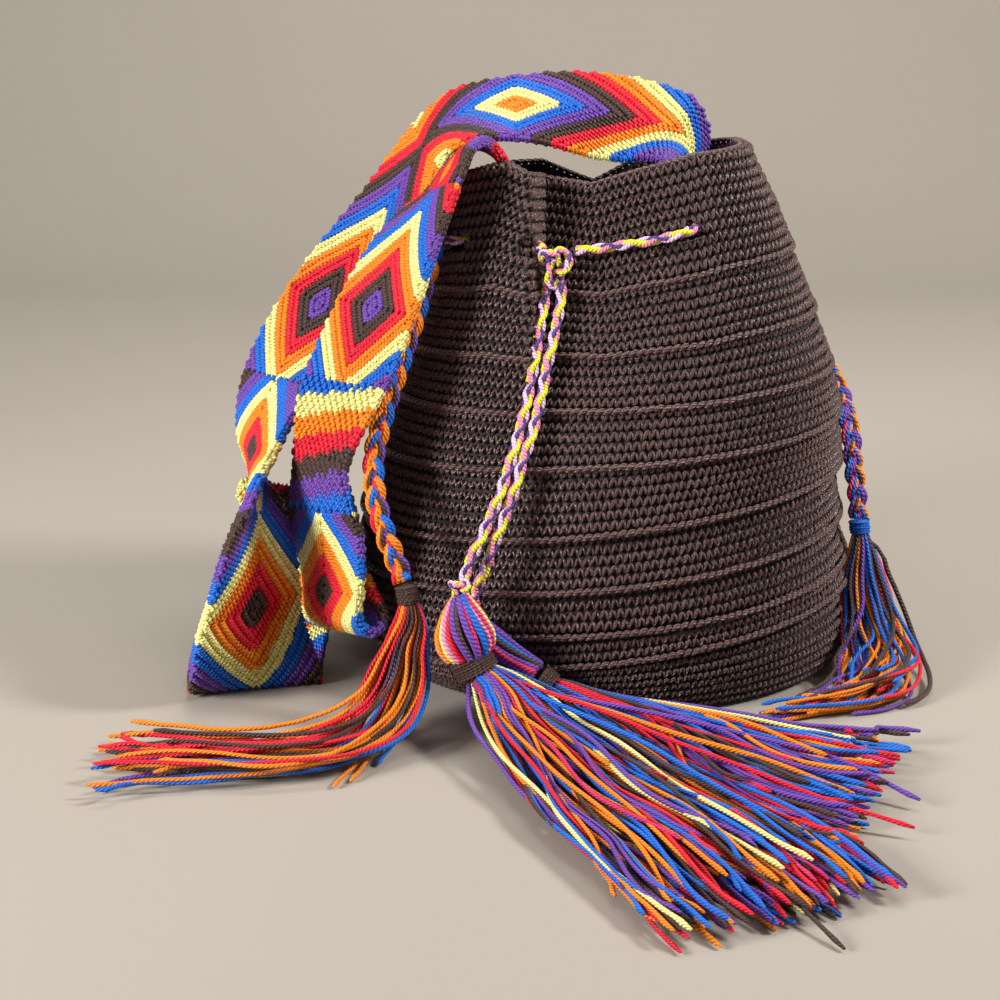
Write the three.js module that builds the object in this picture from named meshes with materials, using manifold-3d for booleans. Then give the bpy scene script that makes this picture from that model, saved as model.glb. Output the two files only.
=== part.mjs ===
import * as THREE from "three";
import Module from "manifold-3d";
import { mergeVertices } from "three/addons/utils/BufferGeometryUtils.js";

// Units are mm, +Z is up, the front of the bag looks along -Y and its flat base sits on z = 0.

const BAG_ROUND = 56;
const BAG_WALL = 5;
const BAG_FLOOR = 6;
const OUTER_LEVELS = [0, 4, 12, 26, 44, 64, 86, 108, 132, 156, 180, 204, 228, 250, 268, 284, 298];
const INNER_LEVELS = [6, 20, 50, 84, 120, 156, 190, 222, 250, 276, 298];

// Height, centre offset in x, half width, half depth and roundness of the wall.
const PROFILE = [
  [0, 8, 130, 121, 2.0],
  [4, 8, 139, 129, 2.0],
  [13, 6, 146, 135, 2.0],
  [27, 4, 148, 139, 2.0],
  [52, 1, 147, 139, 2.0],
  [78, 0, 143, 136, 2.0],
  [103, 1, 139, 132, 2.0],
  [135, 4, 137, 125, 2.05],
  [163, 8, 131, 117, 2.1],
  [184, 10, 124, 109, 2.15],
  [215, 10, 113, 96, 2.2],
  [245, 7, 104, 83, 2.3],
  [274, 4.5, 95.5, 71, 2.4],
  [298, 1.5, 85.5, 62, 2.5],
  [320, 0.5, 78.5, 56, 2.5],
];

// Rim height against x, at the front and at the back of the mouth.
const RIM_FRONT = [
  [-90, 289],
  [-72, 296],
  [-58, 300],
  [-36, 290],
  [-10, 287],
  [18, 296],
  [52, 305],
  [84, 307],
];
const RIM_BACK = [
  [-90, 284],
  [-60, 290],
  [-36, 291],
  [-6, 279],
  [24, 293],
  [52, 300],
  [84, 307],
];

const EYELET_WIDTH = 20;
const EYELET_HEIGHT = 11;
// Angle round the wall and height of each slit the drawstring passes.
const EYELETS = [
  [-117, 257],
  [-152, 256],
  [150, 256],
  [108, 256],
  [62, 260],
  [-69, 267],
];

const STRAP_WIDTH = 78;
const STRAP_THICK = 4;
const STRAP_STEPS = 130;

// Strap centre line from the end inside the right of the mouth, with the direction of its width.
const STRAP_ROUTE = [
  [47, 0, 228, -0.45, -0.89, 0],
  [48, 0, 260, -0.45, -0.89, 0],
  [47, 0, 286, -0.42, -0.9, 0],
  [49, 1, 304, -0.39, -0.92, -0.1],
  [41, 2, 315, -0.42, -0.84, -0.32],
  [26, 4, 318.5, -0.43, -0.78, -0.44],
  [8, 6, 322, -0.36, -0.79, -0.5],
  [-11, 8, 325.5, -0.25, -0.84, -0.48],
  [-30, 12, 327.5, -0.13, -0.89, -0.43],
  [-49, 18, 327, -0.01, -0.93, -0.37],
  [-67, 26, 325, 0.07, -0.94, -0.33],
  [-84, 38, 320, 0.13, -0.94, -0.3],
  [-99, 48, 309, 0.21, -0.94, -0.2],
  [-114, 51, 287, 0.28, -0.92, -0.24],
  [-129, 50, 262, 0.36, -0.89, -0.28],
  [-145, 48, 240, 0.43, -0.86, -0.28],
  [-160, 44, 220, 0.5, -0.82, -0.25],
  [-174, 36, 200, 0.57, -0.8, -0.17],
  [-186, 24, 182, 0.61, -0.79, -0.07],
  [-195, 10, 165, 0.61, -0.79, 0.02],
  [-202, -8, 149, 0.5, -0.86, 0.08],
  [-205, -28, 135, 0.38, -0.92, 0.1],
  [-205, -49, 124, 0.2, -0.98, 0.08],
  [-203, -70, 114, 0, -1, 0.03],
  [-201, -87, 103, -0.24, -0.97, -0.02],
  [-200, -98, 87, -0.41, -0.91, 0],
  [-201, -104, 66, -0.55, -0.83, 0],
  [-204, -104, 42, -0.68, -0.73, 0],
  [-203, -100, 22, -0.83, -0.56, 0],
  [-203, -94, 9, -0.94, -0.33, 0],
  [-204, -86, 2.8, -0.97, -0.22, 0],
  [-205, -76, 9, -0.98, -0.18, 0],
  [-203, -50, 22, -1, 0.02, 0],
  [-197, -28, 44, -0.97, 0.24, 0],
  [-187, -24, 74, -0.92, 0.39, 0],
  [-183, -27, 96, -0.88, 0.47, 0],
  [-184, -34, 106, -0.86, 0.51, 0],
  [-185, -44, 98, -0.85, 0.53, 0],
  [-173, -54, 78, -0.77, 0.64, 0],
  [-158, -68, 58, -0.66, 0.75, -0.08],
  [-149, -78, 46, -0.58, 0.81, -0.12],
  [-153, -83, 38, -0.54, 0.82, -0.16],
  [-160, -87, 45, -0.52, 0.83, -0.18],
  [-160, -86, 70, -0.56, 0.81, -0.18],
  [-161, -86, 94, -0.58, 0.79, -0.18],
  [-163, -86, 113, -0.51, 0.84, -0.18],
  [-164, -86, 131, -0.43, 0.88, -0.18],
  [-161, -84, 147, -0.46, 0.87, -0.14],
  [-155, -80, 167, -0.58, 0.81, -0.09],
  [-146, -74, 188, -0.62, 0.78, -0.04],
  [-137, -66, 209, -0.6, 0.8, -0.03],
  [-127, -58, 231, -0.55, 0.83, -0.02],
  [-116, -50, 253, -0.46, 0.89, -0.02],
  [-104, -44, 272, -0.35, 0.93, -0.1],
  [-92, -37, 289, -0.24, 0.94, -0.24],
  [-83, -25, 303, -0.15, 0.96, -0.2],
  [-71, -8, 308, -0.08, 0.98, -0.12],
  [-59, 1, 296, -0.03, 1, -0.04],
  [-56, 1, 268, -0.04, 1, 0],
  [-55, 1, 238, -0.04, 1, 0],
];

const CORD_D = 6;
const RING_STEPS = 76;
// Drawstring ring: in at the first slit, then out, in, out, in and out at the last one, back to the knot.
const RING_ROUTE = [
  [-37, -63, 255],
  [-42, -57, 257],
  [-49, -51, 257],
  [-60, -49, 257],
  [-71, -41, 256],
  [-81, -40, 256],
  [-91, -36, 256],
  [-98, -20, 256],
  [-100, 0, 256],
  [-98, 20, 256],
  [-91, 37, 256],
  [-80, 42, 256],
  [-70, 42, 256],
  [-56, 50, 256],
  [-42, 54, 256],
  [-34, 57, 256],
  [-29, 64, 256],
  [-21, 69, 256],
  [-4, 68, 257],
  [14, 74, 258],
  [32, 80, 259],
  [50, 77, 260],
  [56, 67, 260],
  [61, 55, 261],
  [74, 43, 262],
  [90, 16, 264],
  [90, -12, 265],
  [76, -38, 266],
  [60, -50, 267],
  [51, -60, 267],
  [46, -73, 267],
  [37, -81, 265],
  [20, -78, 261],
  [0, -71, 257],
  [-18, -65, 254],
];
const KNOT_CENTRE = [-30, -68, 249];
const KNOT_SIZE = [9, 7, 11];
const LEFT_END_ROUTE = [
  [-34, -69, 236],
  [-37, -78, 222],
  [-40, -88, 206],
  [-43, -98, 190],
  [-47, -109, 173],
  [-52, -120, 157],
  [-57, -130, 142],
  [-63, -138, 127],
  [-71, -146, 110],
  [-79, -153, 94],
  [-82, -157, 83],
];
const RIGHT_END_ROUTE = [
  [-26, -69, 237],
  [-28, -79, 221],
  [-32, -89, 205],
  [-36, -99, 189],
  [-40, -110, 172],
  [-45, -121, 156],
  [-50, -129, 143],
  [-55, -136, 128],
  [-61, -142, 114],
  [-66, -145, 100],
  [-71, -143, 86],
  [-74.5, -140, 75],
  [-76, -138.5, 66.5],
];

const BRAID_D = 12;
const LEFT_BRAID_ROUTE = [
  [-97, -40, 262],
  [-101, -48, 244],
  [-106, -57, 226],
  [-112, -70, 208],
  [-117, -80, 193],
  [-122, -88, 179],
  [-127, -97, 163],
  [-131, -109, 146],
  [-130, -122, 128],
  [-125, -132, 110],
  [-118, -137, 93],
  [-114, -140, 83],
];
const RIGHT_BRAID_ROUTE = [
  [84, 62, 262],
  [96, 62, 247],
  [104, 64, 230],
  [111, 64, 213],
  [121, 61, 196],
  [131, 52, 182],
  [141.5, 34, 168],
  [148.5, 9, 152],
  [151, -11, 134],
  [152, -19, 117],
  [154, -24, 101],
  [155, -26, 87],
];
const LOOSE_YARN_D = 3;
const LOOSE_YARN_ROUTE = [
  [171, -29, 62],
  [173, -30, 55],
  [178, -33, 44],
  [184, -36, 30],
  [189, -43, 16],
  [192, -56, 8],
  [192, -76, 5],
  [188, -96, 4],
  [180, -112, 4],
  [170, -121, 4],
];

// Tassel heads and the yarn bound round each neck: station centre, half width, half thickness.
const FRONT_HEAD = [
  [-82, -158.5, 79.6, 4, 4],
  [-81.6, -159.5, 76, 10, 8.5],
  [-81, -160.5, 69, 15, 12],
  [-80.3, -161, 60, 17, 13.5],
  [-80, -161.6, 55, 15.4, 12.6],
  [-79.2, -162, 51, 12.2, 11],
];
const FRONT_BINDING = [
  [-77.4, -162.4, 46.4, 12.5, 11],
  [-72.8, -164, 38.6, 12.5, 11],
];
const REAR_HEAD = [
  [-76, -138, 63, 3.5, 3.5],
  [-72, -139, 60, 8, 7],
  [-64, -141, 53, 11.5, 9],
  [-54, -144, 45, 12.5, 10],
  [-45, -147.5, 39.5, 11.5, 9.6],
  [-38, -150, 35.5, 9.5, 9],
];
const REAR_BINDING = [
  [-35.4, -150.6, 33.4, 10.5, 10],
  [-28.6, -152, 27.6, 10.5, 10],
];
const LEFT_BINDING = [
  [-113, -140.8, 80.6, 6.4, 6.4],
  [-111, -142.6, 71, 6.4, 6.4],
];
const RIGHT_BINDING = [
  [155.2, -26.3, 85.4, 6.4, 6.4],
  [156, -27.6, 78, 6.4, 6.4],
];

// Fringes: station centre, half width, half thickness.
const FRONT_FRINGE = [
  [-70.8, -166.4, 34.6, 9, 9],
  [-67, -172, 27, 14, 11],
  [-58, -186, 17.6, 19, 11],
  [-45, -209, 12.5, 26, 11],
  [-31, -240, 10.5, 34, 9.5],
  [-13, -280, 9, 42, 8.3],
  [7, -320, 8.2, 48, 7.6],
  [29, -360, 7.6, 52, 7],
  [48, -394, 6.8, 50, 6.2],
];
const REAR_FRINGE = [
  [-26.6, -152.8, 26, 8, 8],
  [-18, -154, 20.6, 12, 10],
  [-4, -158, 14.6, 17, 10.5],
  [20, -170, 11.5, 27, 10],
  [48, -194, 10, 42, 9.2],
  [78, -221, 9.4, 60, 8.8],
  [108, -243, 8.6, 76, 8],
  [140, -255, 7.4, 84, 6.8],
];
const LEFT_FRINGE = [
  [-110.4, -143, 69.4, 5.6, 5.6],
  [-111, -147, 54, 13, 8],
  [-112, -154, 38, 18, 9],
  [-117, -170, 22, 19, 9.5],
  [-127, -190, 12, 20, 9],
  [-146, -208, 9, 22, 8],
  [-172, -216, 8, 18, 7],
  [-205, -216, 7.4, 18, 6.4],
  [-240, -210, 7, 24, 6],
  [-268, -212, 6.6, 30, 5.6],
];
const RIGHT_FRINGE = [
  [156.2, -28.4, 75.6, 5.4, 5.4],
  [157, -32, 62, 10, 8],
  [158, -42, 44, 15, 9],
  [160, -58, 26, 19, 10],
  [160, -78, 14, 22, 10],
  [156, -98, 9.5, 20, 8.5],
  [140, -116, 7, 14, 6],
  [112, -128, 5.6, 9, 4.8],
  [82, -136, 5, 7, 4.2],
];
const FRINGE_SIDES = 12;

const COLOURS = {
  brown: 0x3f322e,
  orange: 0xe07818,
  red: 0xb8203a,
  blue: 0x1c58a8,
  purple: 0x5d3f94,
  pinkCord: 0xd8a0b4,
};

const wasm = await Module();
wasm.setup();
const group = new THREE.Group();
group.name = "crocheted_bucket_bag";

function addMesh(name, geometry, colour, roughness) {
  const material = new THREE.MeshStandardMaterial({ color: colour, roughness, metalness: 0 });
  material.name = name + "_yarn";
  const mesh = new THREE.Mesh(geometry, material);
  mesh.name = name;
  group.add(mesh);
}

function makeGeometry(points, triangles) {
  const geometry = new THREE.BufferGeometry();
  geometry.setAttribute("position", new THREE.Float32BufferAttribute(points.flat(), 3));
  geometry.setIndex(triangles.flat());
  return geometry;
}

function lookUp(table, x) {
  if (x <= table[0][0]) return table[0].slice(1);
  for (let i = 1; i < table.length; i += 1) {
    const [low, high] = [table[i - 1], table[i]];
    if (x <= high[0]) {
      const raw = (x - low[0]) / (high[0] - low[0]);
      return low.slice(1).map((v, k) => v + (high[k + 1] - v) * raw);
    }
  }
  return table[table.length - 1].slice(1);
}

function smooth(a, b, x) {
  const t = Math.min(1, Math.max(0, (x - a) / (b - a)));
  return t * t * (3 - 2 * t);
}

// How far the front wall is drawn in beside the left lobe, and the back wall at its middle.
function drawnIn(x, y, z) {
  const gain = smooth(120, 262, z);
  if (y < 0) {
    const step = smooth(-50, -34, x) * (1 - smooth(-34, 52, x));
    return 25 * gain * step;
  }
  return -17 * gain * Math.exp(-(((x + 6) / 30) ** 2));
}

function wallPoint(angle, z, inset) {
  const [cx, a, b, n] = lookUp(PROFILE, z);
  const c = Math.cos(angle);
  const s = Math.sin(angle);
  const x = cx + (a - inset) * Math.sign(c) * Math.abs(c) ** (2 / n);
  const y = (b - inset) * Math.sign(s) * Math.abs(s) ** (2 / n);
  return [x, y + drawnIn(x, y, z), z];
}

function rimHeight(angle) {
  const [x] = wallPoint(angle, 298, 0);
  const front = lookUp(RIM_FRONT, x)[0];
  const back = lookUp(RIM_BACK, x)[0];
  const side = 0.5 - 0.5 * Math.sin(angle);
  return back + (front - back) * smooth(0.3, 0.7, side);
}

function makeBag() {
  const points = [];
  const triangles = [];
  const rings = [];
  const addRing = (levelOf, inset) => {
    const ring = [];
    for (let i = 0; i < BAG_ROUND; i += 1) {
      const angle = (2 * Math.PI * i) / BAG_ROUND;
      ring.push(points.length);
      points.push(wallPoint(angle, levelOf(angle), inset));
    }
    rings.push(ring);
  };
  const top = OUTER_LEVELS[OUTER_LEVELS.length - 1];
  const span = (angle, level) => level + (rimHeight(angle) - top) * smooth(140, top, level);
  for (const level of OUTER_LEVELS) addRing((angle) => span(angle, level), 0);
  addRing((angle) => rimHeight(angle) + 1.6, BAG_WALL / 2);
  for (const level of [...INNER_LEVELS].reverse()) addRing((angle) => span(angle, level), BAG_WALL);
  for (let r = 1; r < rings.length; r += 1) {
    for (let i = 0; i < BAG_ROUND; i += 1) {
      const j = (i + 1) % BAG_ROUND;
      const [a, b, c, d] = [rings[r - 1][i], rings[r - 1][j], rings[r][j], rings[r][i]];
      triangles.push([a, b, c], [a, c, d]);
    }
  }
  const base = points.length;
  points.push([13, 5, 0]);
  const floor = points.length;
  points.push([13, 5, BAG_FLOOR]);
  const last = rings[rings.length - 1];
  for (let i = 0; i < BAG_ROUND; i += 1) {
    const j = (i + 1) % BAG_ROUND;
    triangles.push([base, rings[0][j], rings[0][i]], [floor, last[i], last[j]]);
  }
  return makeGeometry(points, triangles);
}

function toManifold(geometry) {
  const clean = geometry.clone();
  clean.deleteAttribute("normal");
  clean.deleteAttribute("uv");
  const merged = mergeVertices(clean, 1e-4);
  const mesh = new wasm.Mesh({
    numProp: 3,
    vertProperties: new Float32Array(merged.attributes.position.array),
    triVerts: new Uint32Array(merged.index.array),
  });
  return new wasm.Manifold(mesh);
}

function fromManifold(solid) {
  const mesh = solid.getMesh();
  const geometry = new THREE.BufferGeometry();
  geometry.setAttribute("position", new THREE.Float32BufferAttribute(mesh.vertProperties, 3));
  geometry.setIndex(Array.from(mesh.triVerts));
  return geometry;
}

function makeEyelet(degrees, z) {
  const angle = (degrees * Math.PI) / 180;
  const [x, y] = wallPoint(angle, z, BAG_WALL / 2);
  const before = wallPoint(angle - 0.05, z, BAG_WALL / 2);
  const after = wallPoint(angle + 0.05, z, BAG_WALL / 2);
  const turn = Math.atan2(after[1] - before[1], after[0] - before[0]);
  const cutter = new THREE.CylinderGeometry(0.5, 0.5, 26, 10);
  cutter.scale(EYELET_WIDTH, 1, EYELET_HEIGHT);
  cutter.rotateZ(turn);
  cutter.translate(x, y, z);
  return toManifold(cutter);
}

// A band, rope or flattened brush lofted through closed sections.
function makeLoft(sections) {
  const points = sections.flat();
  const triangles = [];
  const n = sections[0].length;
  for (let r = 1; r < sections.length; r += 1) {
    for (let i = 0; i < n; i += 1) {
      const j = (i + 1) % n;
      const [a, b, c, d] = [(r - 1) * n + i, (r - 1) * n + j, r * n + j, r * n + i];
      triangles.push([a, b, c], [a, c, d]);
    }
  }
  const end = (sections.length - 1) * n;
  for (let i = 1; i < n - 1; i += 1) {
    triangles.push([0, i + 1, i], [end, end + i, end + i + 1]);
  }
  const geometry = makeGeometry(points, triangles);
  if (toManifold(geometry).volume() < 0) {
    return makeGeometry(points, triangles.map(([a, b, c]) => [a, c, b]));
  }
  return geometry;
}

function curveOf(route, column) {
  const points = route.map((row) => new THREE.Vector3(row[column], row[column + 1], row[column + 2]));
  return new THREE.CatmullRomCurve3(points, false, "centripetal");
}

function makeStrap() {
  const centre = curveOf(STRAP_ROUTE, 0);
  const count = STRAP_ROUTE.length - 1;
  const sections = [];
  for (let i = 0; i <= STRAP_STEPS; i += 1) {
    const u = i / STRAP_STEPS;
    const at = centre.getPoint(u);
    const along = centre.getTangent(u);
    const k = Math.min(count - 1, Math.floor(u * count));
    const from = new THREE.Vector3(...STRAP_ROUTE[k].slice(3));
    const to = new THREE.Vector3(...STRAP_ROUTE[k + 1].slice(3));
    const side = from.lerp(to, u * count - k).normalize();
    const up = new THREE.Vector3().crossVectors(along, side).normalize();
    const half = side.multiplyScalar(STRAP_WIDTH / 2);
    const lift = up.multiplyScalar(STRAP_THICK / 2);
    sections.push([
      at.clone().sub(half).sub(lift).toArray(),
      at.clone().add(half).sub(lift).toArray(),
      at.clone().add(half).add(lift).toArray(),
      at.clone().sub(half).add(lift).toArray(),
    ]);
  }
  return makeLoft(sections);
}

// The section lies across the route, flat ones with their width level.
function makeBrush(stations) {
  const centre = curveOf(stations, 0);
  const count = stations.length - 1;
  const steps = count * 2;
  const sections = [];
  for (let i = 0; i <= steps; i += 1) {
    const u = i / steps;
    const at = centre.getPoint(u);
    const along = centre.getTangent(u);
    const k = Math.min(count - 1, Math.floor(u * count));
    const t = u * count - k;
    const wide = stations[k][3] + (stations[k + 1][3] - stations[k][3]) * t;
    const thick = stations[k][4] + (stations[k + 1][4] - stations[k][4]) * t;
    const level = new THREE.Vector3(along.y, -along.x, 0);
    if (level.length() < 0.2) level.set(1, 0, 0);
    level.normalize();
    const up = new THREE.Vector3().crossVectors(level, along).normalize();
    const ring = [];
    for (let s = 0; s < FRINGE_SIDES; s += 1) {
      const angle = (2 * Math.PI * s) / FRINGE_SIDES;
      const p = at.clone();
      p.addScaledVector(level, wide * Math.cos(angle));
      p.addScaledVector(up, thick * Math.sin(angle));
      p.z = Math.max(0.4, p.z);
      ring.push(p.toArray());
    }
    sections.push(ring);
  }
  return makeLoft(sections);
}

function makeRope(route, diameter, steps, sides) {
  const shape = new THREE.Shape();
  for (let s = 0; s < sides; s += 1) {
    const angle = (2 * Math.PI * s) / sides;
    const [x, y] = [(diameter / 2) * Math.cos(angle), (diameter / 2) * Math.sin(angle)];
    if (s === 0) shape.moveTo(x, y);
    else shape.lineTo(x, y);
  }
  shape.closePath();
  const settings = { steps, extrudePath: curveOf(route, 0), bevelEnabled: false };
  return new THREE.ExtrudeGeometry(shape, settings);
}

function makeKnot() {
  const ball = new THREE.IcosahedronGeometry(1, 2);
  ball.scale(...KNOT_SIZE);
  ball.translate(...KNOT_CENTRE);
  return ball;
}

let bag = toManifold(makeBag());
for (const [degrees, z] of EYELETS) bag = bag.subtract(makeEyelet(degrees, z));
addMesh("bag_body", fromManifold(bag), COLOURS.brown, 0.7);
addMesh("shoulder_strap", makeStrap(), COLOURS.orange, 0.75);
addMesh("drawstring_ring", makeRope(RING_ROUTE, CORD_D, RING_STEPS, 8), COLOURS.pinkCord, 0.7);
addMesh("drawstring_knot", makeKnot(), COLOURS.pinkCord, 0.7);
addMesh("drawstring_left_end", makeRope(LEFT_END_ROUTE, CORD_D, 24, 8), COLOURS.pinkCord, 0.7);
addMesh("drawstring_right_end", makeRope(RIGHT_END_ROUTE, CORD_D, 26, 8), COLOURS.pinkCord, 0.7);
addMesh("front_tassel_head", makeBrush(FRONT_HEAD), COLOURS.purple, 0.75);
addMesh("front_tassel_binding", makeBrush(FRONT_BINDING), COLOURS.brown, 0.7);
addMesh("front_tassel_fringe", makeBrush(FRONT_FRINGE), COLOURS.red, 0.75);
addMesh("rear_tassel_head", makeBrush(REAR_HEAD), COLOURS.purple, 0.75);
addMesh("rear_tassel_binding", makeBrush(REAR_BINDING), COLOURS.brown, 0.7);
addMesh("rear_tassel_fringe", makeBrush(REAR_FRINGE), COLOURS.blue, 0.75);
addMesh("left_braid", makeRope(LEFT_BRAID_ROUTE, BRAID_D, 22, 8), COLOURS.orange, 0.75);
addMesh("left_braid_binding", makeBrush(LEFT_BINDING), COLOURS.brown, 0.7);
addMesh("left_fringe", makeBrush(LEFT_FRINGE), COLOURS.orange, 0.75);
addMesh("right_braid", makeRope(RIGHT_BRAID_ROUTE, BRAID_D, 22, 8), COLOURS.purple, 0.75);
addMesh("right_braid_binding", makeBrush(RIGHT_BINDING), COLOURS.blue, 0.7);
addMesh("right_fringe", makeBrush(RIGHT_FRINGE), COLOURS.orange, 0.75);
addMesh("right_loose_yarn", makeRope(LOOSE_YARN_ROUTE, LOOSE_YARN_D, 26, 8), COLOURS.brown, 0.7);

export default group;
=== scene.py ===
import math

import bpy
import numpy as np
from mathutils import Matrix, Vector


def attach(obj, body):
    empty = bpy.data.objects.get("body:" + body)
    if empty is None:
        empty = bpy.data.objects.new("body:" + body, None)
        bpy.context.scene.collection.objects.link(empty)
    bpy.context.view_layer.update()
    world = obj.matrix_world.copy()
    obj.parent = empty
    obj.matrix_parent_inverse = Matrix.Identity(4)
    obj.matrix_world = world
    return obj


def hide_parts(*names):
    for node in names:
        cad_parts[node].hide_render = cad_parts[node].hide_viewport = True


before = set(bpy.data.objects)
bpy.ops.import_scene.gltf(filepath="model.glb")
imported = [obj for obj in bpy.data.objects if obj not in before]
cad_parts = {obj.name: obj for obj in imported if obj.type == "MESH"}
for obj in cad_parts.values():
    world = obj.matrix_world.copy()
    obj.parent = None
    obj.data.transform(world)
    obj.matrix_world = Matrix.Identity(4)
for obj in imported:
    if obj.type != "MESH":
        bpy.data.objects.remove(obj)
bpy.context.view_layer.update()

MM = 0.001
rng = np.random.default_rng(11)

# ---------------------------------------------------------------- shape of the bag, mm

# Height, centre offset in x, half width, half depth and roundness of the wall.
PROFILE = np.array([
    [0, 8, 130, 121, 2.0], [4, 8, 139, 129, 2.0], [13, 6, 146, 135, 2.0],
    [27, 4, 148, 139, 2.0], [52, 1, 147, 139, 2.0], [78, 0, 143, 136, 2.0],
    [103, 1, 139, 132, 2.0], [135, 4, 137, 125, 2.05], [163, 8, 131, 117, 2.1],
    [184, 10, 124, 109, 2.15], [215, 10, 113, 96, 2.2], [245, 7, 104, 83, 2.3],
    [274, 4.5, 95.5, 71, 2.4], [298, 1.5, 85.5, 62, 2.5], [320, 0.5, 78.5, 56, 2.5],
])
# Rim height against x, at the front and at the back of the mouth.
RIM_FRONT = np.array([
    [-90, 289], [-72, 296], [-58, 300], [-36, 290], [-10, 287], [18, 296], [52, 305], [84, 307],
])
RIM_BACK = np.array([
    [-90, 284], [-60, 290], [-36, 291], [-6, 279], [24, 293], [52, 300], [84, 307],
])
# Level of the top row, thickness of the wall and floor, and middle of the base.
RIM_LEVEL = 298
WALL = 5
FLOOR = 6
BASE_MIDDLE = (13, 5)
# The slits in the wall, and the half sizes of the gap that the stitches leave round each.
SLIT_WIDE = 20
SLIT_TALL = 11
STITCH_GAP = (7, 4.4)
# Angle round the wall and height of each slit the drawstring passes.
SLITS = [(-117, 257), (-152, 256), (150, 256), (108, 256), (62, 260), (-69, 267)]

# Raised chain rows: level, how far it stands out and how deep the wall tucks in under it.
CHAINS = np.array([
    [36, 2.8, 3.2], [53, 3.2, 4.4], [78, 3.2, 4.4], [108, 3.0, 3.8],
    [143, 1.8, 2.2], [172, 1.1, 1.4], [202, 1.1, 1.3], [237, 0.9, 1.0],
])
# How much higher a row lies at the right of the bag than at its middle, by level.
TILT = np.array([
    [0, 0], [12, 6], [36, 16.5], [53, 12], [78, 13.5], [108, 16],
    [143, 10], [172, 8], [202, 9.5], [237, 8.5], [270, 4], [298, 0],
])
# A row rises by its tilt from TILT_MIDDLE over TILT_REACH in x, and follows the rim from FOLLOWS_RIM up.
TILT_MIDDLE = 5
TILT_REACH = 140
FOLLOWS_RIM = 140
# Height of a row in the wall and in the base, width of a stitch, and pitch of the chain and rim stitches.
ROW_PITCH = 5.8
BASE_PITCH = 4.2
STITCH = 4.5
CHAIN_PITCH = 4.6
INNER_ROWS = 9

# ---------------------------------------------------------------- strap, mm

# Width of the strap, thickness of its inner band, width of a rib and of a ring of colour, and pitch of the
# wraps on the ribbed face, of the knots on the other face and of the wraps along the edges.
STRAP_WIDTH = 78
STRAP_CORE = 2.2
RIB = 6
COLOUR_BAND = 12
WRAP = 3.43
COLUMN = 4.0
EDGE_WRAP = 3.1
# Strap centre line from the end inside the right of the mouth, with the direction of its width.
STRAP_ROUTE = np.array([
    [47, 0, 228, -.45, -.89, 0], [48, 0, 260, -.45, -.89, 0], [47, 0, 286, -.42, -.9, 0],
    [49, 1, 304, -.39, -.92, -.1], [41, 2, 315, -.42, -.84, -.32], [26, 4, 318.5, -.43, -.78, -.44],
    [8, 6, 322, -.36, -.79, -.5], [-11, 8, 325.5, -.25, -.84, -.48], [-30, 12, 327.5, -.13, -.89, -.43],
    [-49, 18, 327, -.01, -.93, -.37], [-67, 26, 325, .07, -.94, -.33], [-84, 38, 320, .13, -.94, -.3],
    [-99, 48, 309, .21, -.94, -.2], [-114, 51, 287, .28, -.92, -.24], [-129, 50, 262, .36, -.89, -.28],
    [-145, 48, 240, .43, -.86, -.28], [-160, 44, 220, .5, -.82, -.25], [-174, 36, 200, .57, -.8, -.17],
    [-186, 24, 182, .61, -.79, -.07], [-195, 10, 165, .61, -.79, .02], [-202, -8, 149, .5, -.86, .08],
    [-205, -28, 135, .38, -.92, .1], [-205, -49, 124, .2, -.98, .08], [-203, -70, 114, 0, -1, .03],
    [-201, -87, 103, -.24, -.97, -.02], [-200, -98, 87, -.41, -.91, 0], [-201, -104, 66, -.55, -.83, 0],
    [-204, -104, 42, -.68, -.73, 0], [-203, -100, 22, -.83, -.56, 0], [-203, -94, 9, -.94, -.33, 0],
    [-204, -86, 2.8, -.97, -.22, 0], [-205, -76, 9, -.98, -.18, 0], [-203, -50, 22, -1, .02, 0],
    [-197, -28, 44, -.97, .24, 0], [-187, -24, 74, -.92, .39, 0], [-183, -27, 96, -.88, .47, 0],
    [-184, -34, 106, -.86, .51, 0], [-185, -44, 98, -.85, .53, 0], [-173, -54, 78, -.77, .64, 0],
    [-158, -68, 58, -.66, .75, -.08], [-149, -78, 46, -.58, .81, -.12], [-153, -83, 38, -.54, .82, -.16],
    [-160, -87, 45, -.52, .83, -.18], [-160, -86, 70, -.56, .81, -.18], [-161, -86, 94, -.58, .79, -.18],
    [-163, -86, 113, -.51, .84, -.18], [-164, -86, 131, -.43, .88, -.18], [-161, -84, 147, -.46, .87, -.14],
    [-155, -80, 167, -.58, .81, -.09], [-146, -74, 188, -.62, .78, -.04], [-137, -66, 209, -.6, .8, -.03],
    [-127, -58, 231, -.55, .83, -.02], [-116, -50, 253, -.46, .89, -.02], [-104, -44, 272, -.35, .93, -.1],
    [-92, -37, 289, -.24, .94, -.24], [-83, -25, 303, -.15, .96, -.2], [-71, -8, 308, -.08, .98, -.12],
    [-59, 1, 296, -.03, 1, -.04], [-56, 1, 268, -.04, 1, 0], [-55, 1, 238, -.04, 1, 0],
])

# ---------------------------------------------------------------- cords and fringes, mm

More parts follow.
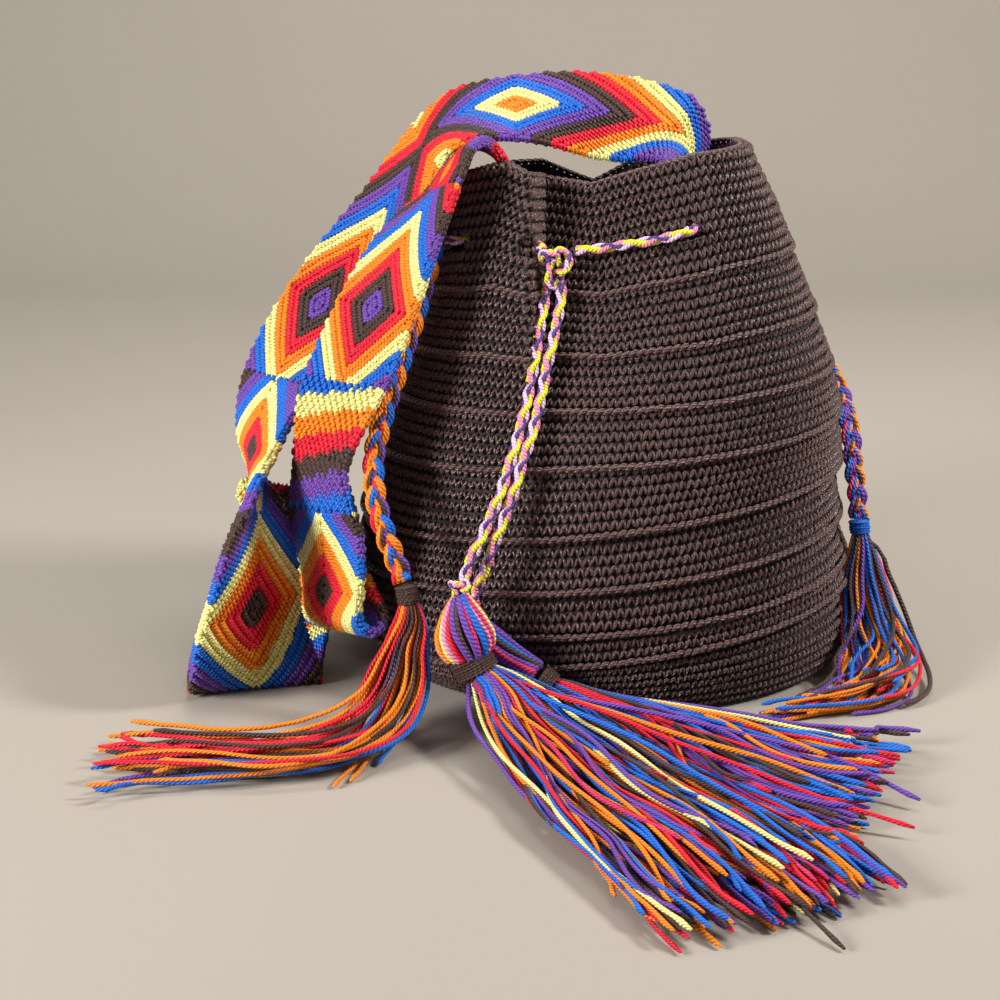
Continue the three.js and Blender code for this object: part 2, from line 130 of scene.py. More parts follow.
# The drawstring's diameter, and its route round the mouth, in and out of the slits.
CORD_D = 6
RING_ROUTE = [
    (-37, -63, 255), (-42, -57, 257), (-49, -51, 257), (-60, -49, 257), (-71, -41, 256),
    (-81, -40, 256), (-91, -36, 256), (-98, -20, 256), (-100, 0, 256), (-98, 20, 256),
    (-91, 37, 256), (-80, 42, 256), (-70, 42, 256), (-56, 50, 256), (-42, 54, 256),
    (-34, 57, 256), (-29, 64, 256), (-21, 69, 256), (-4, 68, 257), (14, 74, 258),
    (32, 80, 259), (50, 77, 260), (56, 67, 260), (61, 55, 261), (74, 43, 262),
    (90, 16, 264), (90, -12, 265), (76, -38, 266), (60, -50, 267), (51, -60, 267),
    (46, -73, 267), (37, -81, 265), (20, -78, 261), (0, -71, 257), (-18, -65, 254),
]
# The knot at the front, the small knot above the front tassel, and the two ends that hang from the first.
KNOT_CENTRE = (-30, -68.5, 246)
KNOT_SIZE = (11, 7, 15)
END_KNOT_CENTRE = (-83, -158.5, 85)
END_KNOT_SIZE = (6, 5, 5)
LEFT_END_ROUTE = [
    (-34, -69, 236), (-37, -78, 222), (-40, -88, 206), (-43, -98, 190), (-47, -109, 173),
    (-52, -120, 157), (-57, -130, 142), (-63, -138, 127), (-71, -146, 110), (-79, -153, 94),
    (-82, -157, 83),
]
RIGHT_END_ROUTE = [
    (-26, -69, 237), (-28, -79, 221), (-32, -89, 205), (-36, -99, 189), (-40, -110, 172),
    (-45, -121, 156), (-50, -129, 143), (-55, -136, 128), (-61, -142, 114), (-66, -145, 100),
    (-71, -143, 86), (-74.5, -140, 75), (-76, -138.5, 66.5),
]
# The braided trims at the two sides, and the yarn that hangs loose from the right one.
BRAID_D = 12
LEFT_BRAID_ROUTE = [
    (-97, -40, 262), (-101, -48, 244), (-106, -57, 226), (-112, -70, 208), (-117, -80, 193),
    (-122, -88, 179), (-127, -97, 163), (-131, -109, 146), (-130, -122, 128), (-125, -132, 110),
    (-118, -137, 93), (-114, -140, 83),
]
RIGHT_BRAID_ROUTE = [
    (84, 62, 262), (96, 62, 247), (104, 64, 230), (111, 64, 213), (121, 61, 196), (131, 52, 182),
    (141.5, 34, 168), (148.5, 9, 152), (151, -11, 134), (152, -19, 117), (154, -24, 101),
    (155, -26, 87),
]
LOOSE_YARN_ROUTE = [
    (171, -29, 62), (173, -30, 55), (178, -33, 44), (184, -36, 30), (189, -43, 16),
    (192, -56, 8), (192, -76, 5), (188, -96, 4), (180, -112, 4), (170, -121, 4),
]
YARN_D = 3
FRINGE_YARN = 2.5
# Radii of the yarn wound round a neck and of the yarns laid over a head, and how far those wind round it.
BINDING_YARN = 0.8
HEAD_YARN = 1.95
HEAD_TWIST = 0.9
# Points along a yarn of a fringe.
YARN_POINTS = 40

# Heads, bindings and fringes, by station: centre, half width and half thickness.
FRONT_HEAD = [
    (-82, -158.5, 81, 3.6, 3.6), (-81.8, -159.5, 76, 7.6, 7), (-81.2, -160.5, 69, 12.4, 10.6),
    (-80.3, -161, 60, 16.4, 13.2), (-79.6, -161.6, 53, 16, 12.8), (-78.4, -162, 47, 12.4, 11),
]
FRONT_BINDING = [(-77.4, -162.4, 46.4, 12.5, 11), (-72.8, -164, 38.6, 12.5, 11)]
REAR_HEAD = [
    (-76, -138, 60, 3.5, 3.5), (-73, -139, 55, 7.2, 7), (-66, -141, 47, 9.4, 8.6),
    (-57, -144, 39.5, 10, 9), (-48.5, -147.5, 34.5, 9.4, 8.8), (-42, -150, 31, 8.8, 8.4),
]
REAR_BINDING = [(-40, -150.4, 30, 9.6, 9.2), (-34, -151.6, 25.4, 9.6, 9.2)]
LEFT_BINDING = [(-113, -140.8, 80.6, 6.4, 6.4), (-111, -142.6, 71, 6.4, 6.4)]
RIGHT_BINDING = [(155.2, -26.3, 85.4, 6.4, 6.4), (156, -27.6, 78, 6.4, 6.4)]
FRONT_FRINGE = [
    (-72, -165.4, 36.6, 10, 9.4), (-62, -168.5, 30.6, 20, 12), (-47, -178.5, 22, 31, 13.6),
    (-31, -202, 14.5, 36, 12.5), (-14, -233, 12.5, 44, 11.5), (5, -273, 10.5, 52, 10),
    (33, -314, 9.6, 58, 9), (54, -354, 8.8, 62, 8), (72, -394, 7.6, 60, 7),
]
REAR_FRINGE = [
    (-32, -152.4, 24, 8, 8), (-22, -154, 19.6, 12.5, 10), (-6, -158, 14.6, 18, 10.5),
    (19, -173, 12.5, 31, 11), (44, -199, 11.5, 50, 10.5), (71, -229, 10.5, 70, 9.6),
    (100, -253, 9.6, 84, 8.8), (131, -266, 8.2, 92, 7.6),
]
LEFT_FRINGE = [
    (-111.2, -142.4, 72.6, 5, 5), (-111, -147, 54, 13, 9), (-115, -154, 38, 19, 11),
    (-122, -169, 22, 23, 12), (-133, -186, 14, 26, 12), (-151, -201, 11, 28, 11),
    (-176, -210, 10, 27, 10), (-208, -212, 9.4, 27, 9.4), (-244, -211, 9, 33, 9),
    (-276, -213, 8.6, 42, 8.6),
]
RIGHT_FRINGE = [
    (155.9, -27.4, 79.4, 5, 5), (157, -32, 62, 12, 10), (158, -42, 44, 19, 12),
    (160, -58, 26, 24, 13), (160, -78, 15, 27, 12), (155, -98, 10.5, 25, 10.5),
    (138, -116, 8, 18, 8), (112, -130, 6.6, 12, 6), (84, -138, 6, 9, 5),
]

# Single yarns that cross over or fall away from the fringes.
FRONT_STRAYS = [
    ("brown", [(-70, -168, 38), (-50, -186, 30), (-15, -226, 25), (22, -280, 21), (50, -330, 15),
               (70, -378, 8), (90, -414, 2)]),
    ("orange", [(-66, -166, 41), (-44, -172, 33), (-8, -190, 27), (38, -220, 23), (84, -246, 17),
                (118, -264, 10)]),
    ("orange", [(-74, -169, 36), (-64, -192, 27), (-44, -236, 21), (-14, -292, 17), (8, -345, 12),
                (20, -385, 6), (34, -412, 2)]),
    ("yellow", [(-76, -168, 34), (-70, -200, 22), (-50, -258, 17), (-22, -318, 12), (4, -360, 7),
                (24, -397, 3)]),
    ("red", [(-72, -171, 34), (-60, -214, 25), (-34, -282, 18), (-10, -346, 9), (8, -392, 3),
             (18, -417, 2)]),
    ("purple", [(-78, -168, 33), (-77, -190, 23), (-65, -228, 15), (-46, -268, 10), (-24, -308, 6),
                (2, -344, 4)]),
    ("purple", [(-68, -168, 40), (-52, -182, 32), (-22, -216, 27), (0, -262, 22), (24, -300, 19),
                (60, -330, 14), (96, -352, 6)]),
    ("orange", [(-70, -169, 38), (-58, -190, 30), (-30, -232, 24), (-4, -290, 19), (28, -352, 13),
                (42, -388, 5)]),
    ("blue", [(-67, -167, 40), (-46, -178, 33), (-12, -204, 27), (28, -250, 22), (66, -300, 17),
              (98, -336, 9), (122, -352, 3)]),
    ("red", [(-66, -167, 40), (-40, -176, 33), (6, -204, 26), (52, -246, 21), (98, -276, 14),
             (140, -296, 6)]),
    ("orange", [(-73, -170, 35), (-66, -204, 23), (-52, -250, 16), (-34, -296, 11), (-6, -340, 8),
                (16, -366, 6), (30, -404, 2)]),
    ("purple", [(-66, -166, 41), (-38, -172, 31), (12, -186, 25), (66, -206, 20), (116, -232, 14),
                (152, -262, 6)]),
]
LEFT_STRAYS = [
    ("orange", [(-110, -146, 64), (-114, -151, 42), (-122, -170, 18), (-134, -198, 5), (-146, -236, 2)]),
    ("orange", [(-109, -146, 64), (-112, -152, 42), (-118, -170, 19), (-128, -196, 6), (-139, -228, 2)]),
    ("blue", [(-108, -147, 64), (-108, -153, 42), (-111, -168, 20), (-118, -186, 6), (-126, -206, 2)]),
    ("brown", [(-111, -147, 64), (-112, -156, 40), (-116, -170, 20), (-124, -182, 8), (-133, -196, 2)]),
    ("orange", [(-112, -143, 66), (-121, -140, 46), (-130, -146, 26), (-141, -166, 10), (-150, -190, 3)]),
    ("yellow", [(-110, -148, 62), (-113, -158, 36), (-124, -184, 12), (-160, -214, 3), (-214, -226, 2)]),
]
RIGHT_STRAYS = [
    ("blue", [(156, -30, 73), (157, -46, 40), (157, -72, 14), (142, -108, 3), (112, -132, 2), (78, -141, 2),
              (40, -148, 2)]),
    ("purple", [(157, -30, 73), (159, -48, 38), (158, -78, 12), (138, -114, 3), (104, -136, 2),
                (66, -146, 2)]),
    ("orange", [(156, -31, 73), (162, -52, 40), (164, -84, 14), (150, -118, 3), (118, -132, 2),
                (84, -150, 2)]),
    ("orange", [(158, -28, 73), (168, -36, 50), (176, -48, 30), (180, -72, 12), (174, -98, 3),
                (158, -114, 2)]),
    ("orange", [(157, -31, 72), (166, -44, 44), (172, -66, 20), (166, -96, 5), (148, -122, 2),
                (128, -126, 2)]),
    ("purple", [(158, -30, 72), (163, -50, 40), (170, -78, 14), (176, -104, 3), (160, -124, 2),
                (136, -132, 2)]),
    ("brown", [(155, -32, 72), (152, -52, 36), (146, -80, 10), (132, -104, 2), (116, -118, 2)]),
    ("brown", [(156, -28, 77), (160, -28, 74), (166, -28.4, 69), (170, -29, 63.5), (172, -29.5, 58.5)]),
]

# The colours follow each other in this order outward from the middle of a diamond.
COLOUR_CYCLE = ["orange", "yellow", "blue", "purple", "brown", "red"]


def rings(first, count):
    start = COLOUR_CYCLE.index(first)
    return [COLOUR_CYCLE[(start + k) % len(COLOUR_CYCLE)] for k in range(count)]


SEQ_ARCH, SEQ_PURPLE, SEQ_BROWN = rings("orange", 10), rings("purple", 10), rings("brown", 11)
SEQ_END = ["orange", "red", "red", "brown", "purple", "purple", "red", "brown", "purple", "purple"]
# From start to end the strap shows the diamond at centre, drawn out along it by stretch; slope is how much
# its rings bend across the strap, from a middle line.
DIAMONDS = [
    (0, 186, 186, 1.24, 1, 0, SEQ_ARCH), (186, 256, 186, 1.24, 1, 0, SEQ_ARCH),
    (256, 374, 374, 1.25, 1, 0, SEQ_PURPLE), (374, 430, 374, 1.16, 1, 0, SEQ_PURPLE),
    (430, 543, 487, 1.2, 1, 0, SEQ_BROWN), (543, 654, 598, 1.19, 1, 0, SEQ_BROWN),
    (654, 766, 710, 1.19, 1, 0, SEQ_BROWN), (766, 850, 808, 1.1, 1, 0, SEQ_BROWN),
    (850, 968, 921, 1.03, 1, 0, SEQ_BROWN), (968, 1046, 921, 1.03, 0.15, -39, SEQ_BROWN),
    (1046, 1091, 1091, 1.06, 1, 0, SEQ_PURPLE), (1091, 1168, 1091, 1.06, 1, 0, SEQ_PURPLE),
    (1168, 1291, 1182, 1.1, 1, 0, SEQ_END),
]
# Between these stations the ribbed face is underneath.
TURNED = (432, 1000)

# ---------------------------------------------------------------- colours, sRGB

YARNS = {
    "brown": (66, 45, 39), "orange": (255, 126, 8), "red": (216, 18, 46),
    "crimson": (200, 38, 96), "blue": (10, 98, 200), "yellow": (255, 222, 140),
    "purple": (102, 62, 158), "pink": (232, 140, 178),
}
CORD_YARNS = {
    "pink": (222, 130, 166), "lime": (212, 216, 36), "lilac": (224, 180, 216), "navy": (70, 58, 122),
}
CORD_STRANDS = np.array([0, 2, 1, 3])
BAG_BROWN = (80, 54, 51)


def linear(rgb):
    c = np.array(rgb) / 255
    return tuple(np.where(c <= 0.04045, c / 12.92, ((c + 0.055) / 1.055) ** 2.4)) + (1.0,)


# ---------------------------------------------------------------- mesh tools

def unit(v):
    return v / np.maximum(np.linalg.norm(v, axis=-1, keepdims=True), 1e-12)


def smooth(a, b, x):
    t = np.clip((x - a) / (b - a), 0, 1)
    return t * t * (3 - 2 * t)


def spline(points, u):
    """Centripetal curve through the points at u from 0 to 1."""
    p = np.asarray(points, float)
    ends = np.vstack([2 * p[0] - p[1], p, 2 * p[-1] - p[-2]])
    n = len(p) - 1
    f = np.clip(u, 0, 1) * n
    k = np.minimum(f.astype(int), n - 1)
    w = (f - k)[:, None]
    x0, x1, x2, x3 = ends[k], ends[k + 1], ends[k + 2], ends[k + 3]
    spans = ((x0, x1), (x1, x2), (x2, x3))
    d0, d1, d2 = (np.sqrt(np.linalg.norm(b - a, axis=1))[:, None] for a, b in spans)
    t1 = ((x1 - x0) / d0 - (x2 - x0) / (d0 + d1) + (x2 - x1) / d1) * d1
    t2 = ((x2 - x1) / d1 - (x3 - x1) / (d1 + d2) + (x3 - x2) / d2) * d1
    return x1 + t1 * w + (3 * (x2 - x1) - 2 * t1 - t2) * w**2 + (2 * (x1 - x2) + t1 + t2) * w**3


def lengths(path):
    return np.concatenate([[0], np.cumsum(np.linalg.norm(np.diff(path, axis=0), axis=1))])


def even(route, count):
    """Points at even spacing along the curve through route."""
    dense = spline(np.asarray(route, float)[:, :3], np.linspace(0, 1, 40 * len(route)))
    s = lengths(dense)
    want = np.linspace(0, s[-1], count)
    return np.stack([np.interp(want, s, dense[:, k]) for k in range(3)], 1)


def moved(path, side, up, x, y):
    """The path moved by x along side and by y along up, with one x and y for each point."""
    return path + side * x[:, None] + up * y[:, None]


def grid_quads(rows, columns):
    """Faces between rows of points that each close into a ring, with the row and column of each face."""
    r, c = (k.ravel() for k in np.meshgrid(np.arange(rows - 1), np.arange(columns), indexing="ij"))
    e = (c + 1) % columns
    low, high = r * columns, (r + 1) * columns
    return np.stack([low + c, low + e, high + e, high + c], 1), r, c


def fan(centre, ring, turned=False):
    """Triangles from one point to a closed ring of points."""
    faces = np.stack([np.full(len(ring), centre), ring, np.roll(ring, -1)], 1)
    return faces[:, [0, 2, 1]] if turned else faces


def part(verts, faces, uvs, slots, tone=0.5):
    """Vertices in mm; faces, uvs and slots are lists of arrays, one for each kind of face."""
    tone = np.broadcast_to(tone, len(verts))
    return {"verts": verts, "faces": faces, "uvs": uvs, "slots": slots, "tone": tone}


def copies(verts, quads, tris, quad_uv, tri_uv, slots, tone):
    """A part of many shapes (shape, vertex, xyz) that share their faces, each with its own slot and tone."""
    count, per = verts.shape[:2]
    shift = (np.arange(count) * per)[:, None, None]
    slots, tone = np.broadcast_to(slots, count), np.broadcast_to(tone, count)
    return part(
        verts.reshape(-1, 3),
        [(quads + shift).reshape(-1, 4), (tris + shift).reshape(-1, 3)],
        [quad_uv.reshape(-1, 4, 2), tri_uv.reshape(-1, 3, 2)],
        [np.repeat(slots, len(quads)), np.repeat(slots, len(tris))],
        np.repeat(tone, per),
    )


def make_piece(name, parts, materials):
    """One object from the parts, which rides on the body and takes its finish from the slot."""
    mesh = bpy.data.meshes.new(name)
    verts, tones, corner, start, uv, index = [], [], [], [], [], []
    base = at = 0
    for p in parts:
        verts.append(p["verts"])
        tones.append(p["tone"])
        for f, t, s in zip(p["faces"], p["uvs"], p["slots"]):
            corner.append((f + base).ravel())
            start.append(at + np.arange(len(f)) * f.shape[1])
            at += f.size
            uv.append(t.reshape(-1, 2))
            index.append(s)
        base += len(p["verts"])
    corner, start = np.concatenate(corner), np.concatenate(start)
    mesh.vertices.add(base)
    mesh.vertices.foreach_set("co", (np.concatenate(verts) * MM).astype(np.float32).ravel())
    mesh.loops.add(len(corner))
    mesh.loops.foreach_set("vertex_index", corner.astype(np.int32))
    mesh.polygons.add(len(start))
    mesh.polygons.foreach_set("loop_start", start.astype(np.int32))
    mesh.polygons.foreach_set("material_index", np.concatenate(index).astype(np.int32))
    layer = mesh.uv_layers.new(name="Yarn")
    layer.uv.foreach_set("vector", np.concatenate(uv).astype(np.float32).ravel())
    tone = mesh.attributes.new("tone", "FLOAT", "POINT")
    tone.data.foreach_set("value", np.concatenate(tones).astype(np.float32))
    mesh.update()
    mesh.validate()
    mesh.shade_smooth()
    for m in materials:
        mesh.materials.append(m)
    piece = bpy.data.objects.new(name, mesh)
    bpy.context.scene.collection.objects.link(piece)
    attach(piece, "root")
    return piece


def frames(paths):
    """Tangents, normals and binormals that don't twist, for paths (path, point, xyz)."""
    tangent = unit(np.gradient(paths, axis=1))
    normal = np.empty_like(paths)
    first = tangent[:, 0]
    ref = np.where(np.abs(first[:, 2:3]) < 0.9, np.array([0, 0, 1.0]), np.array([1.0, 0, 0]))
    normal[:, 0] = unit(ref - (ref * first).sum(1, keepdims=True) * first)
    for k in range(1, paths.shape[1]):
        t, n = tangent[:, k], normal[:, k - 1]
        normal[:, k] = unit(n - (n * t).sum(1, keepdims=True) * t)
    return tangent, normal, np.cross(tangent, normal)


def tubes(paths, radius, sides=6, slots=0, tone=0.5):
    """Closed round yarns along the paths; radius is one number or an array (path, point)."""
    paths = np.asarray(paths, float)
    count, rows = paths.shape[:2]
    radius = np.broadcast_to(radius, (count, rows))
    tangent, normal, side = frames(paths)
    k = np.arange(sides)
    a = 2 * np.pi * k / sides
    ring = normal[:, :, None] * np.cos(a)[:, None] + side[:, :, None] * np.sin(a)[:, None]
    ring = paths[:, :, None] + ring * radius[:, :, None, None]
    blunt = 0.6
    tip0 = paths[:, 0] - tangent[:, 0] * radius[:, :1] * blunt
    tip1 = paths[:, -1] + tangent[:, -1] * radius[:, -1:] * blunt
    verts = np.concatenate([ring.reshape(count, -1, 3), tip0[:, None], tip1[:, None]], 1)
    quads, r, s = grid_quads(rows, sides)
    tips = np.concatenate([fan(rows * sides, k, turned=True), fan(rows * sides + 1, (rows - 1) * sides + k)])
    along = np.array([lengths(p) for p in paths])
    u = along[:, np.stack([r, r, r + 1, r + 1], 1)]
    v = np.stack([s, s + 1, s + 1, s], 1) / sides
    tip_uv = np.zeros((count, 2 * sides, 3, 2))
    tip_uv[:, sides:, :, 0] = along[:, -1][:, None, None]
    return copies(verts, quads, tips, np.stack([u, np.broadcast_to(v, u.shape)], -1), tip_uv, slots, tone)


def bead_shape(stations, section):
    """A closed bead along x from -0.5 to 0.5: vertices, quads, triangles and their yarn coordinates."""
    n, m = len(section), len(stations)
    loops = [(a, y * grow, z * grow) for a, grow in stations for y, z in section]
    verts = np.array([(-0.5, 0, 0.1), *loops, (0.5, 0, 0.1)])
    x = np.array([a for a, _ in stations])
    quads, r, s = grid_quads(m, n)
    quad_uv = np.stack([x[np.stack([r, r + 1, r + 1, r], 1)], np.stack([s, s, s + 1, s + 1], 1) / n], -1)
    k = np.arange(n)
    tris = np.concatenate([fan(0, 1 + k), fan(1 + m * n, 1 + (m - 1) * n + k, turned=True)])
    v = np.stack([k + 0.5, k, k + 1], 1) / n
    ends = ((-0.5, x[0], v), (0.5, x[-1], v[:, [0, 2, 1]]))
    tri_uv = np.concatenate([np.stack([np.broadcast_to((tip, edge, edge), w.shape), w], -1)
                             for tip, edge, w in ends])
    return verts, 1 + quads[:, [0, 3, 2, 1]], tris, quad_uv, tri_uv


# Sections run from one flank over the outer side to the other, then under. The rim has finer beads than the
# chains and the strap, and the plain rows have the smallest.
ROUND5 = [(-0.5, 0.0), (-0.3, 0.42), (0.3, 0.42), (0.5, 0.0), (0.0, -0.35)]
ROUND4 = [(-0.5, 0.0), (0.0, 0.5), (0.5, 0.0), (0.0, -0.35)]
BEAD = bead_shape([(-0.24, 0.94), (0.24, 0.94)], ROUND5)
FINE_BEAD = bead_shape([(-0.3, 0.8), (0, 1.0), (0.3, 0.8)], ROUND5)
SMALL_BEAD = bead_shape([(-0.26, 0.92), (0.26, 0.92)], ROUND4)


def beads(shape, centre, along, out, size, slots=0, tone=0.5):
    """One bead at each centre, its length along and its outer side out; size is length, width, height."""
    verts, quads, tris, quad_uv, tri_uv = shape
    along = unit(along)
    across = unit(np.cross(out, along))
    out = np.cross(along, across)
    size = np.broadcast_to(size, (len(centre), 3))
    placed = centre[:, None] + sum(
        verts[None, :, k:k + 1] * (size[:, k:k + 1] * axis)[:, None]
        for k, axis in enumerate((along, across, out)))
    tone = np.broadcast_to(tone, len(centre))

    def mapped(uv):
        full = np.broadcast_to(uv, (len(centre), *uv.shape)).copy()
        full[..., 0] *= size[:, 0][:, None, None]
        full[..., 0] += (tone * 40)[:, None, None]
        return full

    return copies(placed, quads, tris, mapped(quad_uv), mapped(tri_uv), slots, tone)


# ---------------------------------------------------------------- materials

def node(tree, kind, **settings):
    n = tree.nodes.new(kind)
    for key, value in settings.items():
        setattr(n, key, value)
    return n


def math_node(tree, operation, *inputs):
    n = node(tree, "ShaderNodeMath", operation=operation)
    for i, value in enumerate(inputs):
        if isinstance(value, (int, float)):
            n.inputs[i].default_value = value
        else:
            tree.links.new(value, n.inputs[i])
    return n.outputs[0]


def new_material(name, roughness, sheen=0.0):
    """A material with its node tree and shader."""
    material = bpy.data.materials.new(name)
    material.use_nodes = True
    shader = material.node_tree.nodes["Principled BSDF"]
    shader.inputs["Roughness"].default_value = roughness
    shader.inputs["Sheen Weight"].default_value = sheen
    return material, material.node_tree, shader


def yarn_place(tree):
    """Place along the yarn or row, and round the yarn or up the rows."""
    uv = node(tree, "ShaderNodeSeparateXYZ")
    tree.links.new(node(tree, "ShaderNodeUVMap", uv_map="Yarn").outputs[0], uv.inputs[0])
    return uv.outputs[0], uv.outputs[1]


def noise_of(tree, scale, detail=2.0):
    noise = node(tree, "ShaderNodeTexNoise")
    noise.inputs["Scale"].default_value = scale
    noise.inputs["Detail"].default_value = detail
    tree.links.new(node(tree, "ShaderNodeTexCoord").outputs["Object"], noise.inputs["Vector"])
    return noise.outputs["Fac"]


def scaled(rgb, gain):
    return tuple(np.minimum(np.array(linear(rgb))[:3] * gain, 1)) + (1,)


def colour_between(tree, shader, factor, low, high):
    mix = node(tree, "ShaderNodeMix", data_type="RGBA")
    mix.inputs["A"].default_value = low
    mix.inputs["B"].default_value = high
    tree.links.new(factor, mix.inputs["Factor"])
    tree.links.new(mix.outputs["Result"], shader.inputs["Base Color"])


def relief_of(tree, shader, height, strength, distance):
    relief = node(tree, "ShaderNodeBump")
    relief.inputs["Strength"].default_value = strength
    relief.inputs["Distance"].default_value = distance
    tree.links.new(height, relief.inputs["Height"])
    tree.links.new(relief.outputs["Normal"], shader.inputs["Normal"])


def yarn_material(name, rgb, plies=3, lay=8.0, dark=0.33, light=1.35, roughness=0.5, bump=0.8, sheen=0.05,
                  gloss=0.35):
    """Twisted yarn: plies wind round it once in lay mm, with fine fibres and uneven dye. Its colour is
    darker in the grooves between the plies and lighter on their crowns: painted shade and painted highlight.
    """
    material, tree, shader = new_material(name, roughness, sheen)
    shader.inputs["Sheen Roughness"].default_value = 0.4
    shader.inputs["Specular IOR Level"].default_value = gloss
    along, around = yarn_place(tree)
    turn = math_node(tree, "MULTIPLY", along, 2 * math.pi * plies / lay)
    phase = math_node(tree, "MULTIPLY_ADD", around, 2 * math.pi * plies, turn)
    wave = math_node(tree, "MULTIPLY_ADD", math_node(tree, "SINE", phase), 0.5, 0.5)
    ply = math_node(tree, "POWER", wave, 0.6)
    fibre, dye = noise_of(tree, 1400, 3), noise_of(tree, 45)
    tone = node(tree, "ShaderNodeAttribute", attribute_name="tone").outputs["Fac"]
    # Painted shade and highlight: the ply stripes darken the grooves between plies and lighten their crowns;
    # fibre, tone and dye add random variation.
    shade = math_node(tree, "MULTIPLY", ply, 0.62)
    for value, share in ((fibre, 0.2), (tone, 0.2), (dye, 0.16)):
        shade = math_node(tree, "MULTIPLY_ADD", value, share, shade)
    colour_between(tree, shader, shade, scaled(rgb, dark), scaled(rgb, light))
    relief_of(tree, shader, math_node(tree, "MULTIPLY_ADD", fibre, 0.35, ply), bump, 0.0006)
    return material


def crochet_lining(name, rgb, dark, light):
    """Rows of crochet seen from behind, by stitch and row number, darker in the dips between the stitch
    humps: painted shade.
    """
    material, tree, shader = new_material(name, 0.75, 0.1)
    stitch, row = yarn_place(tree)

    def humps(value, power):
        wave = math_node(tree, "SINE", math_node(tree, "MULTIPLY", value, math.pi))
        return math_node(tree, "POWER", math_node(tree, "ABSOLUTE", wave), power)

    slant = math_node(tree, "MULTIPLY_ADD", row, 0.35, stitch)
    height = math_node(tree, "MULTIPLY", humps(row, 0.6), humps(slant, 0.5))
    both = math_node(tree, "MULTIPLY_ADD", noise_of(tree, 900), 0.3, height)
    # Painted shade: the colour follows the stitch humps and is darkest in the dips between them.
    shade = math_node(tree, "MULTIPLY", both, 0.8)
    colour_between(tree, shader, shade, scaled(rgb, dark), scaled(rgb, light))
    relief_of(tree, shader, both, 0.9, 0.0012)
    return material


YARN_ORDER = list(YARNS)
yarn_set = [yarn_material("yarn_" + n, YARNS[n]) for n in YARN_ORDER]
rib_set = [yarn_material("strap_" + n, YARNS[n], plies=3, lay=7.0, bump=0.7) for n in YARN_ORDER]
cord_set = [yarn_material("cord_" + n, c, plies=2, lay=4.0) for n, c in CORD_YARNS.items()]
# Wide gap between the dark and light ends of the bag yarn: strong painted shade and painted highlight along
# its plies.
bag_yarn = yarn_material("bag_stitch", BAG_BROWN, plies=4, lay=14.0, dark=0.22, light=1.4, roughness=0.4,
                         sheen=0.1, gloss=0.55)
bag_lining = crochet_lining("bag_lining", BAG_BROWN, 0.12, 0.75)
# Near-black copy of the bag's crochet for the wall seen between the stitches: painted shade in the gaps.
bag_gap_shade = crochet_lining("bag_gap_shade", BAG_BROWN, 0.03, 0.16)


def colour_index(name):
    return YARN_ORDER.index(name)


# ---------------------------------------------------------------- cords

def braid_axes(path, flat=None):
    """Side and upper directions along one path; the side is square to flat, if that is given."""
    tangent = unit(np.gradient(path, axis=0))
    if flat is None:
        _, normal, side = frames(path[None])
        return side[0], normal[0]
    side = unit(np.cross(tangent, flat))
    return side, np.cross(side, tangent)


def round_braid(route, diameter, lay=27.0, step=1.45, start=0.0):
    """Four strands, two wound each way, passing over and under in turn: strand paths and the centre path."""
    total = lengths(even(route, 200))[-1]
    path = even(route, int(total / step) + 2)
    s = lengths(path)
    side, up = braid_axes(path)
    turn = 2 * np.pi * s / lay + start
    middle, swing = diameter * 0.245, diameter * 0.075
    strands = []
    for offset, way in ((0, 1), (np.pi, 1), (np.pi / 2, -1), (3 * np.pi / 2, -1)):
        a = way * turn + offset
        r = middle + way * swing * np.sin(2 * turn)
        strands.append(moved(path, side, up, r * np.cos(a) * 1.12, r * np.sin(a) * 0.9))
    return np.array(strands), path


def make_drawstring(name, route, start=0.0):
    """The cord of four strands, and its centre path."""
    strands, path = round_braid(route, CORD_D, start=start)
    radius = CORD_D * np.array([[.25], [.23], [.26], [.19]])
    cord = tubes(strands, radius, 6, CORD_STRANDS, np.array([.5, .6, .55, .4]))
    return make_piece(name, [cord], cord_set), path


def make_knot(name, centre, size, diameter):
    """A tight overhand knot of the drawstring."""
    t = np.linspace(0, 2 * np.pi, 90)
    deep = 1.6
    loop = np.stack([np.sin(t) + 2 * np.sin(2 * t), np.cos(t) - 2 * np.cos(2 * t), -np.sin(3 * t) * deep], 1)
    loop *= np.array([size[0], size[2], size[1]]) / np.array([3.0, 3.0, deep]) * 0.78
    loop = loop[:, [0, 2, 1]] + np.array(centre)
    strands, _ = round_braid(loop, diameter, lay=20.0, step=1.0)
    return make_piece(name, [tubes(strands, diameter * 0.23, 6, CORD_STRANDS)], cord_set)


def make_braid(name, route, diameter, colours):
    """A flat braid of three strands, each of three yarns."""
    step, lay = 1.6, 34.0
    total = lengths(even(route, 200))[-1]
    path = even(route, int(total / step) + 2)
    s = lengths(path)
    side, up = braid_axes(path, np.array([0.25, -1.0, 0.15]))
    parts = []
    for k in range(3):
        a = 2 * np.pi * s / lay + 2 * np.pi * k / 3
        strand = moved(path, side, up, np.sin(a) * diameter * 0.25, np.sin(2 * a) * diameter * 0.13)
        lean = np.cos(a)
        yarns = []
        for m in (-1, 0, 1):
            o = m * diameter * 0.16
            yarns.append(moved(strand, side, up, o * (1 - 0.25 * lean**2), o * 0.15 * lean - abs(m) * 0.5))
        parts.append(tubes(np.array(yarns), diameter * 0.125, 6, [colour_index(c) for c in colours[k]],
                           rng.uniform(0.3, 0.8, 3)))
    return make_piece(name, parts, yarn_set), path


# ---------------------------------------------------------------- tassels

